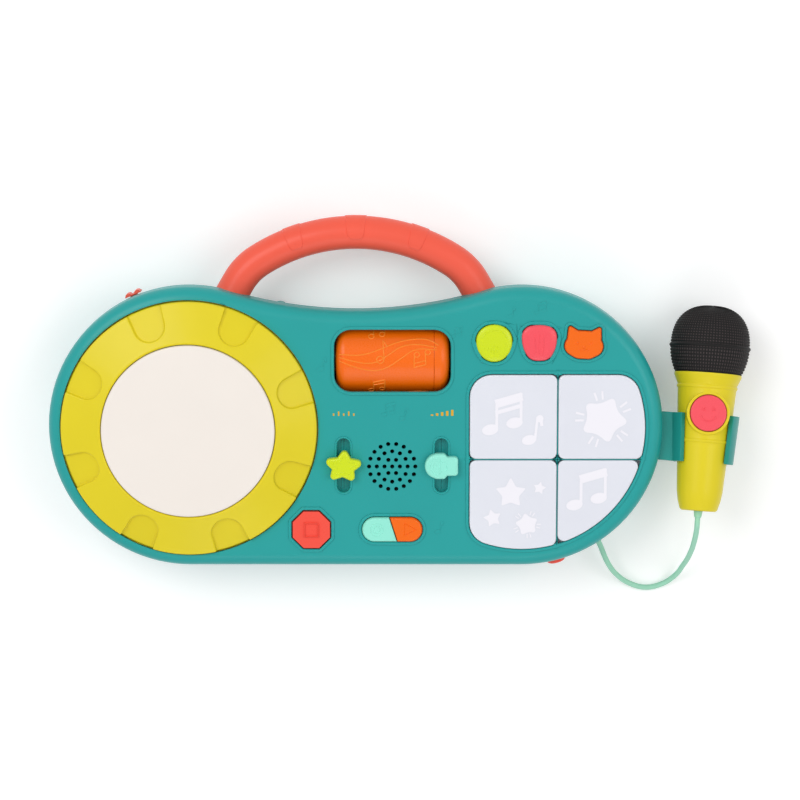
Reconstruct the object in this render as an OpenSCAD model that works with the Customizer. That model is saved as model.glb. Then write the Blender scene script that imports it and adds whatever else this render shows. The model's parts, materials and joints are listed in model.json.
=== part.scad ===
// Toy music player with a drum turntable, light-up pads and a tethered microphone.
// It lies on its back: Z is up out of the face, Y points to the carrying handle, X to the microphone.
// The origin is midway between the two lobes, on the plane of the feet. Millimetres and degrees.

/* [Body] */
// Radius of each round lobe of the case
lobe_r = 87; // [84:0.5:92]
// Distance of each lobe's centre from the middle
lobe_x = 102.5; // [100:0.5:112]
// Height of the top edge where it dips between the lobes
saddle_y = 72.2; // [71:0.1:76]
// Rounding of the front edge
edge_r = 8; // [5:0.5:10]
// Rounding of the back edge
back_edge_r = 9; // [4:0.5:14]
// Lean of the rear sides
draft = 8; // [4:0.5:10]
// Wall of both shells
wall = 2.5; // [2:0.1:3]
// Height of the feet
foot_h = 3; // [2:0.5:6]
// Radius of a foot
foot_r = 9; // [6:0.5:12]
// Height of the seam between the shells above the feet
seam_z = 42; // [41:0.5:43]
// Height of the front face above the feet
front_z = 60; // [59:0.5:62]
// Width of the raised lip round a control
lip_w = 2; // [1:0.1:2.2]
// Height of the raised lip round a control
lip_h = 0.8; // [0.4:0.1:1.2]

/* [Handle] */
// Radius of the grip
grip_r = 10.3; // [9:0.1:11]
// Half the distance between the legs
handle_a = 77.5; // [76:0.5:79]
// Rise of the arch above its legs
handle_b = 49.6; // [46:0.2:54]
// Radius of the shoulders
shoulder_r = 38; // [34:0.5:42]
// Y of the legs' tops, hidden in the case
handle_y = 69; // [68:0.5:72]
// Height of the grip's centre line
handle_z = 36; // [33:0.5:37]
// Rise of the three thumb pads on the grip
thumb_h = 0.6; // [0.3:0.1:1]
// Angle between the thumb pads
thumb_step = 19.5; // [14:0.5:22]

/* [Drum] */
// Radius of the drum head
drum_r = 53.2; // [50:0.1:55]
// Height of the drum head's edge above the face
drum_rise = 12.4; // [10:0.2:15]
// Crown of the drum head
drum_crown = 1.5; // [0.5:0.1:3]
// Radius of the turntable ring
ring_r = 78.7; // [77:0.1:79]
// Height of the ring's outer edge above the face
ring_edge = 3.2; // [2:0.1:4]
// Number of finger scallops in the ring
scallops = 8; // [4:1:10]
// Depth of a finger scallop
scallop_d = 1.9; // [1:0.1:2.4]
// Half width of a scallop's round inner end
scallop_r = 9.6; // [7:0.1:11]
// Distance of a scallop's round end from the drum's centre
scallop_at = 68.2; // [66:0.2:70]
// Turn of the first scallop
scallop_turn = 20; // [0:1:45]

/* [Roller] */
// Centre of the roller window
window_at = [22.7, 42]; // [-80:0.1:80]
// Width of the roller window
window_w = 70.8; // [68:0.2:72]
// Height of the roller window
window_h = 37.7; // [36:0.1:39]
// Rounding of the window's corners
window_r = 10; // [6:0.5:14]
// Radius of the roller
roller_r = 24.2; // [23:0.1:25]
// Rise of the roller above the face
roller_rise = 1.5; // [0.5:0.1:3]
// Radius of the roller's axle
axle_r = 2; // [1.5:0.1:3]

/* [Buttons] */
// Centre of the octagonal stop button
stop_at = [-27.5, -63.4]; // [-90:0.1:90]
// Width of the stop button across its flats
stop_w = 23.6; // [21:0.1:24]
// Centre of the split record and play button
pill_at = [22.5, -63.2]; // [-90:0.1:90]
// Width of the split button
pill_w = 37; // [34:0.2:39]
// Height of the split button
pill_h = 15.1; // [13:0.1:17]
// Centre of the middle shaped button
shapes_at = [112.5, 53.3]; // [-120:0.1:120]
// Distance between the shaped buttons
shapes_step = 27.5; // [27.2:0.1:28.5]
// Rise of the buttons above the face
button_rise = 2.2; // [1.7:0.1:3]
// Travel of a button or pad
press = 1.5; // [1:0.1:1.5]
// Rounding of a button's top edge
cap_edge = 1.2; // [0.6:0.1:1.5]

/* [Pads] */
// Radius of the pads' outer edge about the lobe's centre
pads_r = 75.5; // [74:0.1:76.5]
// Left edge of the pads
pads_left = 70.2; // [70:0.1:74]
// Top edge of the pads
pads_top = 33.4; // [32:0.1:34.5]
// Where the four pads meet
pads_meet = [124.2, -19.3]; // [-130:0.1:130]
// Gap between neighbouring pads
pad_gap = 0.9; // [0.7:0.1:1.5]
// Rounding of the pad field's outer corners
field_r = 13.5; // [11:0.5:16]
// Rounding of the pads' inner corners
pad_r = 4; // [2:0.5:6]
// Rise of the pads above the face
pad_rise = 1.6; // [1:0.1:3]

/* [Sliders] */
// Middle of the tempo slot
tempo_at = [-7.5, -23.1]; // [-60:0.1:60]
// Middle of the volume slot
volume_at = [52.8, -23.1]; // [-60:0.1:60]
// Length of a slot
slot_l = 33.7; // [32:0.1:35]
// Width of a slot
slot_w = 8; // [7:0.1:9]
// Rise of the slider knobs above the face
knob_rise = 6.5; // [5:0.1:8]
// Radius of the star knob
star_r = 11.2; // [10:0.1:11.6]
// Height of the star knob as a share of its width
star_squash = 0.84; // [0.8:0.01:1]

/* [Speaker] */
// Centre of the speaker grille
speaker_at = [22.5, -23.8]; // [-60:0.1:60]
// Radius of the speaker
speaker_r = 19.5; // [18.5:0.1:20.5]
// Depth of the speaker behind the face
speaker_depth = 18; // [15:0.5:20]
// Distance between the rings of grille holes
hole_pitch = 4.75; // [4.3:0.05:5]
// Radius of a grille hole
hole_r = 1.32; // [1:0.02:1.6]

/* [Microphone] */
// Middle of the microphone's tail, its x counted from the right lobe's side
mic_tail = [22.9, -53.6, 50.7]; // [-60:0.1:60]
// Lean of the microphone to the right
mic_turn = 4.4; // [3.5:0.1:5]
// Lean of the microphone's head to the table
mic_lean = 11; // [10:0.5:11.5]
// Length of the microphone
mic_l = 127.5; // [124:0.5:130]
// Radius of the microphone's head
head_r = 24.2; // [23:0.1:24.6]
// Distance of the head's widest ring from the tail
head_at = 102.2; // [100:0.1:104]
// Distance of the yellow body's rim from the tail
rim_at = 84.5; // [83:0.1:86]
// Radius of the yellow body's rim
rim_r = 20.9; // [20.5:0.1:21.2]
// Radius of the body below its upper bead
throat_r = 18.3; // [17.8:0.1:18.6]
// Radius of the body at its tail
tail_r = 14.2; // [13.8:0.1:14.4]
// Distance of the microphone's button from the tail
talk_at = 60.5; // [59:0.1:62]
// Radius of the microphone's button
talk_r = 11.2; // [10.5:0.1:11.6]
// Where the clip starts along the microphone
clip_from = 30; // [28:0.5:32]
// Length of the clip
clip_l = 30; // [27:0.5:31]
// Thickness of the clip's arms
clip_t = 3.2; // [2.6:0.1:3.6]
// Half the clip's open angle
clip_open = 49; // [48:1:52]

/* [Rim] */
// Place of the power switch round the left lobe
power_turn = 113.7; // [112:0.1:116]
// Height of the power switch
power_z = 34; // [32:0.5:35]
// Travel of the power switch each way
power_travel = 2; // [1:0.5:2.5]
// Place of the mode button round the right lobe
mode_turn = -75.5; // [-78:0.5:-73]
// Radius of the mode button
mode_r = 6; // [5:0.1:6.4]
// Height of the mode button
mode_z = 30; // [28:0.5:31]
// Place of the cord's gland round the right lobe
gland_turn = -57.7; // [-60:0.1:-56]
// Height of the cord's gland
gland_z = 16; // [15:0.5:18]
// Radius of the cord's gland
gland_r = 7; // [6:0.1:7.5]
// Radius of the microphone's cord
cord_r = 1.7; // [1.4:0.1:2]

/* [Inside] */
// Height of the boards' top faces
board_z = 47; // [46.9:0.1:47.3]
// Thickness of the boards
board_t = 1.6; // [1:0.1:2]
// Middle of the battery bay
bay_at = [17, -42]; // [-60:0.5:60]
// Radius of a battery cell
cell_r = 7.2; // [7:0.05:7.3]
// Length of a battery cell
cell_l = 50.5; // [48:0.5:51]
// Number of battery cells
cells = 3; // [2:1:3]

/* [Fits] */
// Gap round a button in its opening
button_gap = 0.4; // [0.3:0.05:0.6]
// Running clearance between moving faces
run_gap = 0.35; // [0.3:0.05:0.5]
// Clearance between pieces that seat on each other
seat_gap = 0.1; // [0.05:0.01:0.2]
// Radial clearance of the roller on its axle
axle_gap = 0.05; // [0.02:0.01:0.1]

/* [Hidden] */
$fn = 64;
// Corners of a button's outline are drawn with this many steps a turn.
outline_fn = 28;

// Case outline: two lobes, a straight foot and a saddle arc tangent to both lobes.
saddle_r = (lobe_x * lobe_x + saddle_y * saddle_y - lobe_r * lobe_r) / (2 * (lobe_r - saddle_y));
saddle_c = saddle_y + saddle_r;
saddle_turn = atan2(lobe_x, saddle_c);
back_z = foot_h;
under = front_z - wall;
floor_z = back_z + wall;
// The inner rounding stays outside the well of the turntable.
inner_edge_r = edge_r - wall - 1.5;
left_lobe = [-lobe_x, 0];
right_lobe = [lobe_x, 0];

// Round arch of the handle: two shoulders and one crown arc, tangent to each other.
crown_r = (pow(handle_a - shoulder_r, 2) + handle_b * handle_b - shoulder_r * shoulder_r)
    / (2 * (handle_b - shoulder_r));
shoulder_turn = atan2(crown_r - handle_b, handle_a - shoulder_r);

// Drum and turntable levels.
plate_t = 2.5;
plate_z = front_z - 10.2;
plate_top = plate_z + plate_t;
ring_z = plate_top + run_gap;
flange_over = 2.2;
flange_top = under - 1.5;
well_r = ring_r + 0.9;
hub_r = drum_r;
hub_t = 2.2;
head_z = front_z + drum_rise;
head_t = 3;
hub_top = head_z - head_t - press - run_gap;
ring_top = head_z - 0.4;
ring_bore = hub_r + run_gap;
ring_edge_z = front_z + ring_edge;
ring_slope = atan2(ring_top - ring_edge_z, ring_r - ring_bore);
hook_z = plate_top + 5;

// Roller.
roller_l = window_w - 3.8;
roller_z = front_z + roller_rise - roller_r;
roller_wall = 2.6;
cradle_t = 3;
cradle_x = roller_l / 2 + run_gap;

// Buttons, pads and sliders.
lip_root = 0.5;
lip_step = 0.15;
slot_lip = 1.3;
speaker_rim = 3;
flange_w = 1.5;
flange_t = 1.9;
cap_top = front_z + button_rise;
pad_top = front_z + pad_rise;
stem_r = 2.5;
switch_h = 3.6;
switch_w = 6;
stem_z = board_z + switch_h + press + 0.2;
pad_flange_z = stem_z + 0.7;
pad_flange_t = 1.7;
rib_z = pad_flange_z + pad_flange_t + run_gap;
rib_w = 1.6;
slot_depth = 5;
pocket_t = 1.5;
slit_w = 3.4;
tongue_w = 2.6;
tongue_l = 7;
carriage_t = 1.8;
slide_travel = slot_l / 2 - tongue_l / 2 - 1.4;

// Microphone.
mic_wall = 2.2;
bead_h = 0.6;
bead_low = 43.4;
bead_high = 77;
mic_slope = (throat_r - tail_r) / (bead_high - 12);
clip_play = bead_h + run_gap;
talk_rise = 1.2;
talk_press = 1.2;
collar_r = 2.8;
collar_l = 4;

// Case screws, from the back up into the front shell, and board screws on posts of the rear shell.
case_screws_at = [[-48, 67], [-58, -76.5], [-21, -38], [63.4, -38], [69, -75], [163, 48]];
plate_post_r = (ring_bore + ring_r) / 2;
plate_posts_at = [for (a = [45:90:315]) left_lobe + plate_post_r * [cos(a), sin(a)]];
pad_posts_at = [[78, 40], [165, 22], [76, -48], [146, -50]];
control_posts_at = [[-36, -68], [54, -68], [-30, -8], [54, 2]];
screw_r = 1.5;
screw_head_r = 3;
screw_head_h = 2;
small_screw_r = 1.2;
post_r = 5;
boss_r = 4.2;
small_post_r = 3.6;
screw_seat_z = 30;
screw_reach = 11;

// Battery bay.
bay_w = cell_l + 6;
bay_h = cells * (2 * cell_r + 0.6) + 1;
bay_top = floor_z + 2 * cell_r + 1.6;
door_t = 2.2;
door_lip = 2;
ear_r = 6;
door_boss_h = 12;
door_screw_at = bay_at + [bay_w / 2 + ear_r, 0];
contact_t = 0.6;

// Rim pieces, measured out from a lobe's centre.
function side_r(z) = lobe_r - (seam_z - z) * tan(draft);
switch_half = 4;
power_neck_w = 4.8;
power_neck_h = 3.4;
power_body_x = lobe_r - 12;
mode_out = 6.2;
mode_travel = 2;
mode_switch_x = lobe_r - 15.4;
gland_shank_r = 4.5;
gland_out = 1.5;
clip_screws_turn = [-1.5, -11.5];
clip_screw_z = 36;

// The cord's route between its gland and the microphone, chosen by hand.
cord_mid = [[160, -96, 13], [166, -104, 8], [174, -110, 4], [184, -113, 2.2],
            [194, -111, 2.4], [202, -105, 6], [207, -96, 15], [210, -86, 28], [211, -75, 41], [211.2, -66, 49]];
cord_sides = 8;

teal = "#3ba39f";
deep_teal = "#2f8d88";
coral = "#f0604a";
yellow = "#e2cf3a";
cream = "#f3ece4";
orange = "#f4691c";
lime = "#cfe02f";
pink = "#f5596a";
red = "#ee4f45";
mint = "#9fe3d0";
milk = "#e4e7ee";
black = "#2f2b2b";
steel = "#b9bdc2";
board_green = "#2f6b45";

// A flat shape raised between two heights.
module slab(z0, z1) {
    translate([0, 0, z0]) linear_extrude(height = z1 - z0) children();
}

module at(p) {
    translate([p.x, p.y, 0]) children();
}

// A place on the side of a lobe, with x pointing straight out of it.
module rim(lobe, turn, z) {
    translate([lobe.x, lobe.y, z]) rotate([0, 0, turn]) children();
}

module rounded_box(w, h, r) {
    offset(r = r, $fn = outline_fn) square([w - 2 * r, h - 2 * r], center = true);
}

// A screw that stands head down at the origin and points up.
module screw(r, l, head_r, head_h) {
    cylinder(r = head_r, h = head_h);
    cylinder(r = r, h = head_h + l);
}

// Section of the front edge: everything inside the outline, where x = 0 is the outline.
module front_section(inset, z0, z1, rounding, reach) {
    steps = 8;
    polygon(concat(
        [[-reach, z1], [-reach, z0], [-inset, z0]],
        [for (i = [0:steps]) let (a = 90 * i / steps)
            [-inset - rounding + rounding * cos(a), z1 - rounding + rounding * sin(a)]]));
}

// Section of the rear edge, which leans in by the draft and ends in a round back edge.
module rear_section(inset, z0, z1, rounding, reach) {
    steps = 6;
    mid_z = z0 + rounding;
    mid_x = -inset - (rounding + (seam_z - mid_z) * sin(draft)) / cos(draft);
    top_x = -inset - (seam_z - z1) * tan(draft);
    polygon(concat(
        [[-reach, z1], [-reach, z0]],
        [for (i = [0:steps]) let (a = -90 + (90 - draft) * i / steps)
            [mid_x + rounding * cos(a), mid_z + rounding * sin(a)]],
        [[top_x, z1]]));
}

// Sweeps a section, drawn by the child, round the whole case outline.
module round_outline() {
    for (side = [0, 1])
        mirror([side, 0, 0]) {
            translate([lobe_x, 0, 0]) rotate([0, 0, -90])
                rotate_extrude(angle = 180 + saddle_turn) translate([lobe_r, 0]) children();
            translate([0, saddle_c, 0]) rotate([0, 0, -90])
                rotate_extrude(angle = saddle_turn) translate([saddle_r, 0]) mirror([1, 0]) children();
        }
    translate([-lobe_x, 0, 0]) rotate([90, 0, 90]) linear_extrude(height = 2 * lobe_x)
        mirror([1, 0]) translate([lobe_r, 0]) children();
}

// The middle of the case, which the swept sections leave open.
sweep_reach = lobe_r - 20;

module middle(z0, z1) {
    slab(z0, z1) {
        for (side = [-1, 1])
            translate([side * lobe_x, 0]) circle(r = lobe_r / 2);
        square([2 * lobe_x, lobe_r], center = true);
    }
}

module front_form(inset, z0, z1, rounding) {
    round_outline() front_section(inset, z0, z1, rounding, sweep_reach);
    middle(z0, z1);
}

module rear_form(inset, z0, z1, rounding) {
    round_outline() rear_section(inset, z0, z1, rounding, sweep_reach);
    middle(z0, z1);
}

// Rings along the handle, each a point, its extra radius and its rise on the outer side: a leg with a foot,
// a shoulder, the crown with its thumb pads, a shoulder and a leg.
leg_turn = 30;
leg_l = 21;
foot_l = 3;
foot_more = 1.8;
thumb_half = 3.1;
thumb_edge = 0.35;
thumb_gap = 6.4;
function shoulder_point(a) = [handle_a - shoulder_r + shoulder_r * cos(a), handle_y + shoulder_r * sin(a)];
function crown_point(a) = [crown_r * cos(a), handle_y + handle_b - crown_r + crown_r * sin(a)];
function flip(p) = [-p.x, p.y];
function backwards(list) = [for (i = [len(list) - 1:-1:0]) list[i]];
leg_way = [-sin(leg_turn), cos(leg_turn)];
leg_start = shoulder_point(leg_turn) - leg_l * leg_way;
half_arch = concat(
    [[leg_start, foot_more, 0], [leg_start + foot_l * leg_way, foot_more, 0],
     [leg_start + (foot_l + seat_gap) * leg_way, 0, 0]],
    [for (a = [leg_turn:5:shoulder_turn]) [shoulder_point(a), 0, 0]]);
thumb_rings = [[-thumb_gap, 0], [-thumb_half - thumb_edge, 0], [-thumb_half, thumb_h], [0, thumb_h],
               [thumb_half, thumb_h], [thumb_half + thumb_edge, 0], [thumb_gap, 0]];
crown_arch = [for (i = [-1:1], ring = thumb_rings) [crown_point(90 + i * thumb_step + ring[0]), 0, ring[1]]];
arch = concat(half_arch, crown_arch, [for (ring = backwards(half_arch)) [flip(ring[0]), ring[1], ring[2]]]);

// The hole that a leg of the handle takes in the case, seen from its top.
module leg_bore(extra) {
    for (side = [0, 1])
        mirror([side, 0, 0]) translate([leg_start.x, leg_start.y, handle_z])
            rotate([-90, 0, leg_turn]) translate([0, 0, -8]) cylinder(r = grip_r + extra, h = leg_l + 20);
}

// A closed tube along points, with frames carried from ring to ring so that it never twists.
function unit(v) = v / norm(v);
function along(path, i) = unit(path[min(i + 1, len(path) - 1)] - path[max(i - 1, 0)]);
function square_to(v, t) = unit(v - (v * t) * t);
function sides_of(path, start, i) =
    i == 0 ? [square_to(start, along(path, 0))]
           : let (before = sides_of(path, start, i - 1))
             concat(before, [square_to(before[i - 1], along(path, i))]);

module tube(path, sides, start, r_at) {
    n = len(path);
    across = sides_of(path, start, n - 1);
    points = [for (i = [0:n - 1], k = [0:sides - 1])
        let (a = 360 * k / sides)
        path[i] + r_at(i, a) * (cos(a) * across[i] + sin(a) * cross(along(path, i), across[i]))];
    walls = [for (i = [0:n - 2], k = [0:sides - 1])
        let (a = i * sides + k, b = i * sides + (k + 1) % sides)
        each [[a, b + sides, b], [a, a + sides, b + sides]]];
    polyhedron(points, concat([[for (k = [0:sides - 1]) k]], walls,
        [[for (k = [sides - 1:-1:0]) (n - 1) * sides + k]]));
}

// Outlines of the controls, each about its own centre.
module stop_outline() {
    rotate([0, 0, 22.5]) circle(r = stop_w / 2 / cos(22.5), $fn = 8);
}

module pill_outline() {
    rounded_box(pill_w, pill_h, pill_h / 2 - 0.05);
}

module lime_outline() {
    offset(r = 6.6, $fn = outline_fn) polygon([[-4.6, 4.3], [4.6, 4.3], [0, -4.9]]);
}

module pink_outline() {
    offset(r = 5.6, $fn = outline_fn) polygon([[-5.2, 5.3], [5.4, 5.1], [2.4, -5.4], [-1.8, -5.4]]);
}

module cat_outline() {
    rotate([0, 0, -3]) {
        offset(r = 6.2, $fn = outline_fn)
            polygon([[-5.6, -2], [-3, 1.2], [3, 1.2], [5.6, -2], [2.6, -3.6], [-2.6, -3.6]]);
        for (side = [-1, 1])
            offset(r = 1.2, $fn = 16) polygon([[side * 9.2, 2.6], [side * 8.8, 8.6], [side * 3.6, 5.6]]);
    }
}

module shape_outline(i) {
    if (i == 0) lime_outline();
    if (i == 1) pink_outline();
    if (i == 2) cat_outline();
}

function shape_at(i) = shapes_at + [(i - 1) * shapes_step, 0];

module star_outline() {
    points = 5;
    tip = 2.3;
    offset(r = tip, $fn = 20) polygon([for (i = [0:2 * points - 1])
        (i % 2 == 0 ? star_r - tip : star_r * 0.42) * [cos(86 + i * 36), star_squash * sin(86 + i * 36)]]);
}

// Loudspeaker shape: a round horn on the left and a square back on the right.
module horn_outline() {
    translate([-2.6, 0.4]) circle(r = 7.6);
    offset(r = 2, $fn = 20) polygon([[-3, 6.2], [1, 6.2], [2.6, 4.2], [8.2, 4.2], [8.2, -3.6], [2.6, -3.6],
                           [1, -5.6], [-3, -5.6]]);
}

module slot_outline() {
    rounded_box(slot_w, slot_l, slot_w / 2 - 0.05);
}

module field_outline() {
    offset(r = field_r, $fn = outline_fn) offset(delta = -field_r) intersection() {
        at(right_lobe) circle(r = pads_r, $fn = 96);
        translate([pads_left, pads_top - 200]) square(200);
    }
}

// Quarter of the plane that belongs to one pad: 1 and 2 on top, 3 and 4 below.
module pad_quarter(i, gap) {
    x = i % 2 == 1 ? -1 : 1;
    y = i <= 2 ? 1 : -1;
    at(pads_meet) polygon([[x * gap, y * gap], [x * 200, y * gap], [x * 200, y * 200], [x * gap, y * 200]]);
}

module pad_outline(i) {
    offset(r = pad_r, $fn = outline_fn) offset(delta = -pad_r) intersection() {
        field_outline();
        pad_quarter(i, pad_gap / 2);
    }
}

function pad_middle(i) = pads_meet + [i % 2 == 1 ? -25 : 24, i <= 2 ? 26 : -24];

// A control's opening through the face, and the raised lip round it.
module opening() {
    slab(under - 1, front_z + lip_h + 1) offset(r = button_gap, $fn = outline_fn) children();
}

module lip(inner, outer) {
    slab(front_z - lip_root, front_z + lip_h) difference() {
        offset(r = outer, $fn = outline_fn) children();
        offset(r = inner, $fn = outline_fn) children();
    }
}

module cut_or_lip(kind) {
    if (kind == "cut") opening() children();
    if (kind == "lip") lip(button_gap + lip_step, button_gap + lip_w) children();
}

// Every button and window that has a lip.
module face_controls(kind) {
    at(stop_at) cut_or_lip(kind) stop_outline();
    at(pill_at) cut_or_lip(kind) pill_outline();
    for (i = [0:2])
        at(shape_at(i)) cut_or_lip(kind) shape_outline(i);
    cut_or_lip(kind) field_outline();
    at(window_at) cut_or_lip(kind) rounded_box(window_w, window_h, window_r);
}

module grille() {
    at(speaker_at) translate([0, 0, under - 1]) {
        cylinder(r = hole_r, h = wall + 2);
        for (k = [1:3], i = [0:6 * k - 1])
            rotate([0, 0, i * 60 / k]) translate([k * hole_pitch, 0, 0]) cylinder(r = hole_r, h = wall + 2);
    }
}

module slot_pocket() {
    slab(front_z - slot_depth - pocket_t, under + 0.5)
        rounded_box(slot_w + 2 * pocket_t, slot_l + 2 * pocket_t, slot_w / 2);
}

module slot_hollow() {
    slab(front_z - slot_depth, front_z + lip_h + 1) slot_outline();
    slab(front_z - slot_depth - pocket_t - 1, front_z) square([slit_w, slot_l - 2], center = true);
}

module pad_ribs() {
    slab(rib_z, under + 0.5) intersection() {
        offset(r = 2, $fn = outline_fn) field_outline();
        at(pads_meet) union() {
            square([rib_w, 400], center = true);
            square([400, rib_w], center = true);
        }
    }
}

module front_shell() {
    color(teal) {
        difference() {
            union() {
                difference() {
                    front_form(0, seam_z, front_z, edge_r);
                    front_form(wall, seam_z - 1, under, inner_edge_r);
                }
                for (p = [tempo_at, volume_at])
                    at(p) slot_pocket();
                for (p = case_screws_at)
                    at(p) translate([0, 0, seam_z]) cylinder(r = boss_r, h = under - seam_z + 0.5);
                at(speaker_at) translate([0, 0, under - speaker_rim]) difference() {
                    cylinder(r = speaker_r + 1.6, h = speaker_rim + 0.5);
                    translate([0, 0, -1]) cylinder(r = speaker_r + seat_gap, h = speaker_rim + 1);
                }
            }
            difference() {
                face_controls("cut");
                pad_ribs();
            }
            for (p = [tempo_at, volume_at])
                at(p) slot_hollow();
            grille();
            at(left_lobe) translate([0, 0, seam_z]) cylinder(r = well_r, h = 40);
            for (p = case_screws_at)
                at(p) translate([0, 0, seam_z - 1]) cylinder(r = screw_r + seat_gap, h = screw_reach + 2);
            leg_bore(seat_gap);
        }
        face_controls("lip");
        for (p = [tempo_at, volume_at])
            at(p) lip(lip_step, slot_lip) slot_outline();
    }
}

module rear_shell() {
    color(teal) difference() {
        union() {
            difference() {
                rear_form(0, back_z, seam_z, back_edge_r);
                rear_form(wall, floor_z, seam_z + 1, back_edge_r - wall);
            }
            for (p = case_screws_at)
                at(p) translate([0, 0, back_z + 1]) cylinder(r = post_r, h = seam_z - back_z - 1);
            for (p = plate_posts_at)
                at(p) translate([0, 0, back_z + 1]) cylinder(r = small_post_r, h = plate_z - back_z - 1);
            for (p = concat(pad_posts_at, control_posts_at))
                at(p) translate([0, 0, back_z + 1])
                    cylinder(r = small_post_r, h = board_z - board_t - back_z - 1);
            at(bay_at) slab(back_z + 1, bay_top + 2) square([bay_w + 4, bay_h + 4], center = true);
            at(door_screw_at) translate([0, 0, back_z + 1]) cylinder(r = post_r, h = door_boss_h);
            rim(left_lobe, power_turn, 0) translate([power_body_x, 0, back_z + 1])
                cylinder(r = small_post_r, h = power_z - switch_half - back_z - 1);
            rim(right_lobe, mode_turn, 0) translate([mode_switch_x, 0, back_z + 1])
                cylinder(r = small_post_r, h = mode_z - switch_half - back_z - 1);
        }
        at(bay_at) {
            slab(back_z - 1, bay_top) square([bay_w, bay_h], center = true);
            slab(back_z - 1, back_z + door_t)
                square([bay_w, bay_h] + 2 * (door_lip + seat_gap) * [1, 1], center = true);
        }
        at(door_screw_at) {
            translate([0, 0, back_z - 1]) cylinder(r = ear_r + seat_gap, h = door_t + 1);
            translate([0, 0, back_z]) cylinder(r = small_screw_r + seat_gap, h = door_boss_h - 1);
        }
        rim(left_lobe, power_turn, power_z) translate([lobe_r - 8, 0, 0])
            cube([20, power_neck_w + 2 * power_travel, power_neck_h] + 2 * run_gap * [0, 1, 1], center = true);
        rim(right_lobe, mode_turn, mode_z) rotate([0, 90, 0]) translate([0, 0, lobe_r - 12])
            cylinder(r = mode_r + run_gap, h = 20);
        rim(right_lobe, gland_turn, gland_z) rotate([0, 90, 0]) translate([0, 0, lobe_r - 14])
            cylinder(r = gland_shank_r + seat_gap, h = 20);
        for (a = clip_screws_turn)
            rim(right_lobe, a, clip_screw_z) rotate([0, 90, 0]) translate([0, 0, lobe_r - 14])
                cylinder(r = screw_r + seat_gap, h = 20);
        for (p = case_screws_at)
            at(p) {
                translate([0, 0, back_z - 1]) cylinder(r = screw_r + seat_gap, h = 60);
                translate([0, 0, back_z - 1]) cylinder(r = screw_head_r + 0.4, h = screw_seat_z - back_z + 1);
            }
        for (p = plate_posts_at)
            at(p) translate([0, 0, plate_z - 9]) cylinder(r = small_screw_r + seat_gap, h = 10);
        for (p = concat(pad_posts_at, control_posts_at))
            at(p) translate([0, 0, board_z - 9]) cylinder(r = small_screw_r + seat_gap, h = 10);
        leg_bore(seat_gap);
    }
}

module feet() {
    color("#3a4a4a") for (p = [[0, 0], [-140, -48], [-140, 48], [140, -48], [140, 48]])
        at(p) rotate_extrude() polygon([[0, 0], [foot_r - 1, 0], [foot_r, 1], [foot_r, foot_h], [0, foot_h]]);
}

module case_screws() {
    color(steel) for (p = case_screws_at)
        translate([p.x, p.y, screw_seat_z - screw_head_h])
            screw(screw_r, seam_z - screw_seat_z + screw_reach - 1, screw_head_r, screw_head_h);
}

// Small screws, each with its head on a plate or a board.
module board_screw(p, z) {
    translate([p.x, p.y, z]) mirror([0, 0, 1]) translate([0, 0, -screw_head_h])
        screw(small_screw_r, 7.5, screw_head_r - 0.4, screw_head_h);
}

module board_screws() {
    color(steel) {
        for (p = plate_posts_at)
            board_screw(p, plate_top);
        for (p = concat(pad_posts_at, control_posts_at))
            board_screw(p, board_z);
    }
}

module battery_door() {
    color(teal) difference() {
        union() {
            at(bay_at) slab(back_z, back_z + door_t - seat_gap)
                square([bay_w + 2 * door_lip, bay_h + 2 * door_lip], center = true);
            at(door_screw_at) translate([0, 0, back_z]) cylinder(r = ear_r, h = door_t - seat_gap);
        }
        at(door_screw_at) translate([0, 0, back_z - 1]) {
            cylinder(r = small_screw_r + 0.3, h = 10);
            cylinder(r = screw_head_r, h = 2);
        }
        for (i = [-2:2])
            at(bay_at) translate([-bay_w / 2 + 8, i * 4, back_z]) rotate([0, 90, 0])
                cylinder(r = 0.8, h = 12, $fn = 6);
    }
}

module battery_door_screw() {
    color(steel) at(door_screw_at) translate([0, 0, back_z - 0.9])
        screw(small_screw_r, 7, screw_head_r - 0.4, 1.9);
}

function cell_y(i) = bay_at.y + (i - (cells - 1) / 2) * (2 * cell_r + 0.6);
cell_z = back_z + door_t + 0.2 + cell_r;
nub_r = 2.7;
nub_l = 1.5;

module batteries() {
    color("#8a8f94") for (i = [0:cells - 1])
        translate([bay_at.x - cell_l / 2, cell_y(i), cell_z]) rotate([0, 90, 0]) {
            cylinder(r = cell_r, h = cell_l - nub_l);
            cylinder(r = nub_r, h = cell_l);
        }
}

module battery_contacts() {
    reach = (bay_w - cell_l) / 2;
    color(steel) for (i = [0:cells - 1], side = [-1, 1])
        translate([bay_at.x + side * bay_w / 2, cell_y(i), cell_z]) rotate([0, -side * 90, 0]) {
            translate([0, 0, contact_t / 2]) cube([10, 10, contact_t], center = true);
            cylinder(r1 = 4, r2 = 2.2, h = reach - seat_gap);
        }
}

module handle() {
    color(coral) tube([for (ring = arch) [ring[0].x, ring[0].y, handle_z]], 22, [0, 0, 1],
        function(i, a) grip_r + arch[i][1] + (sin(a) > -0.35 ? arch[i][2] : 0));
}

hook_h = 2;
skirt_r = hub_r - hub_t - 0.5;
hook_r = skirt_r + 1.2;
skirt_t = 2.2;
plate_r = ring_r + flange_over + 0.6;

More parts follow.
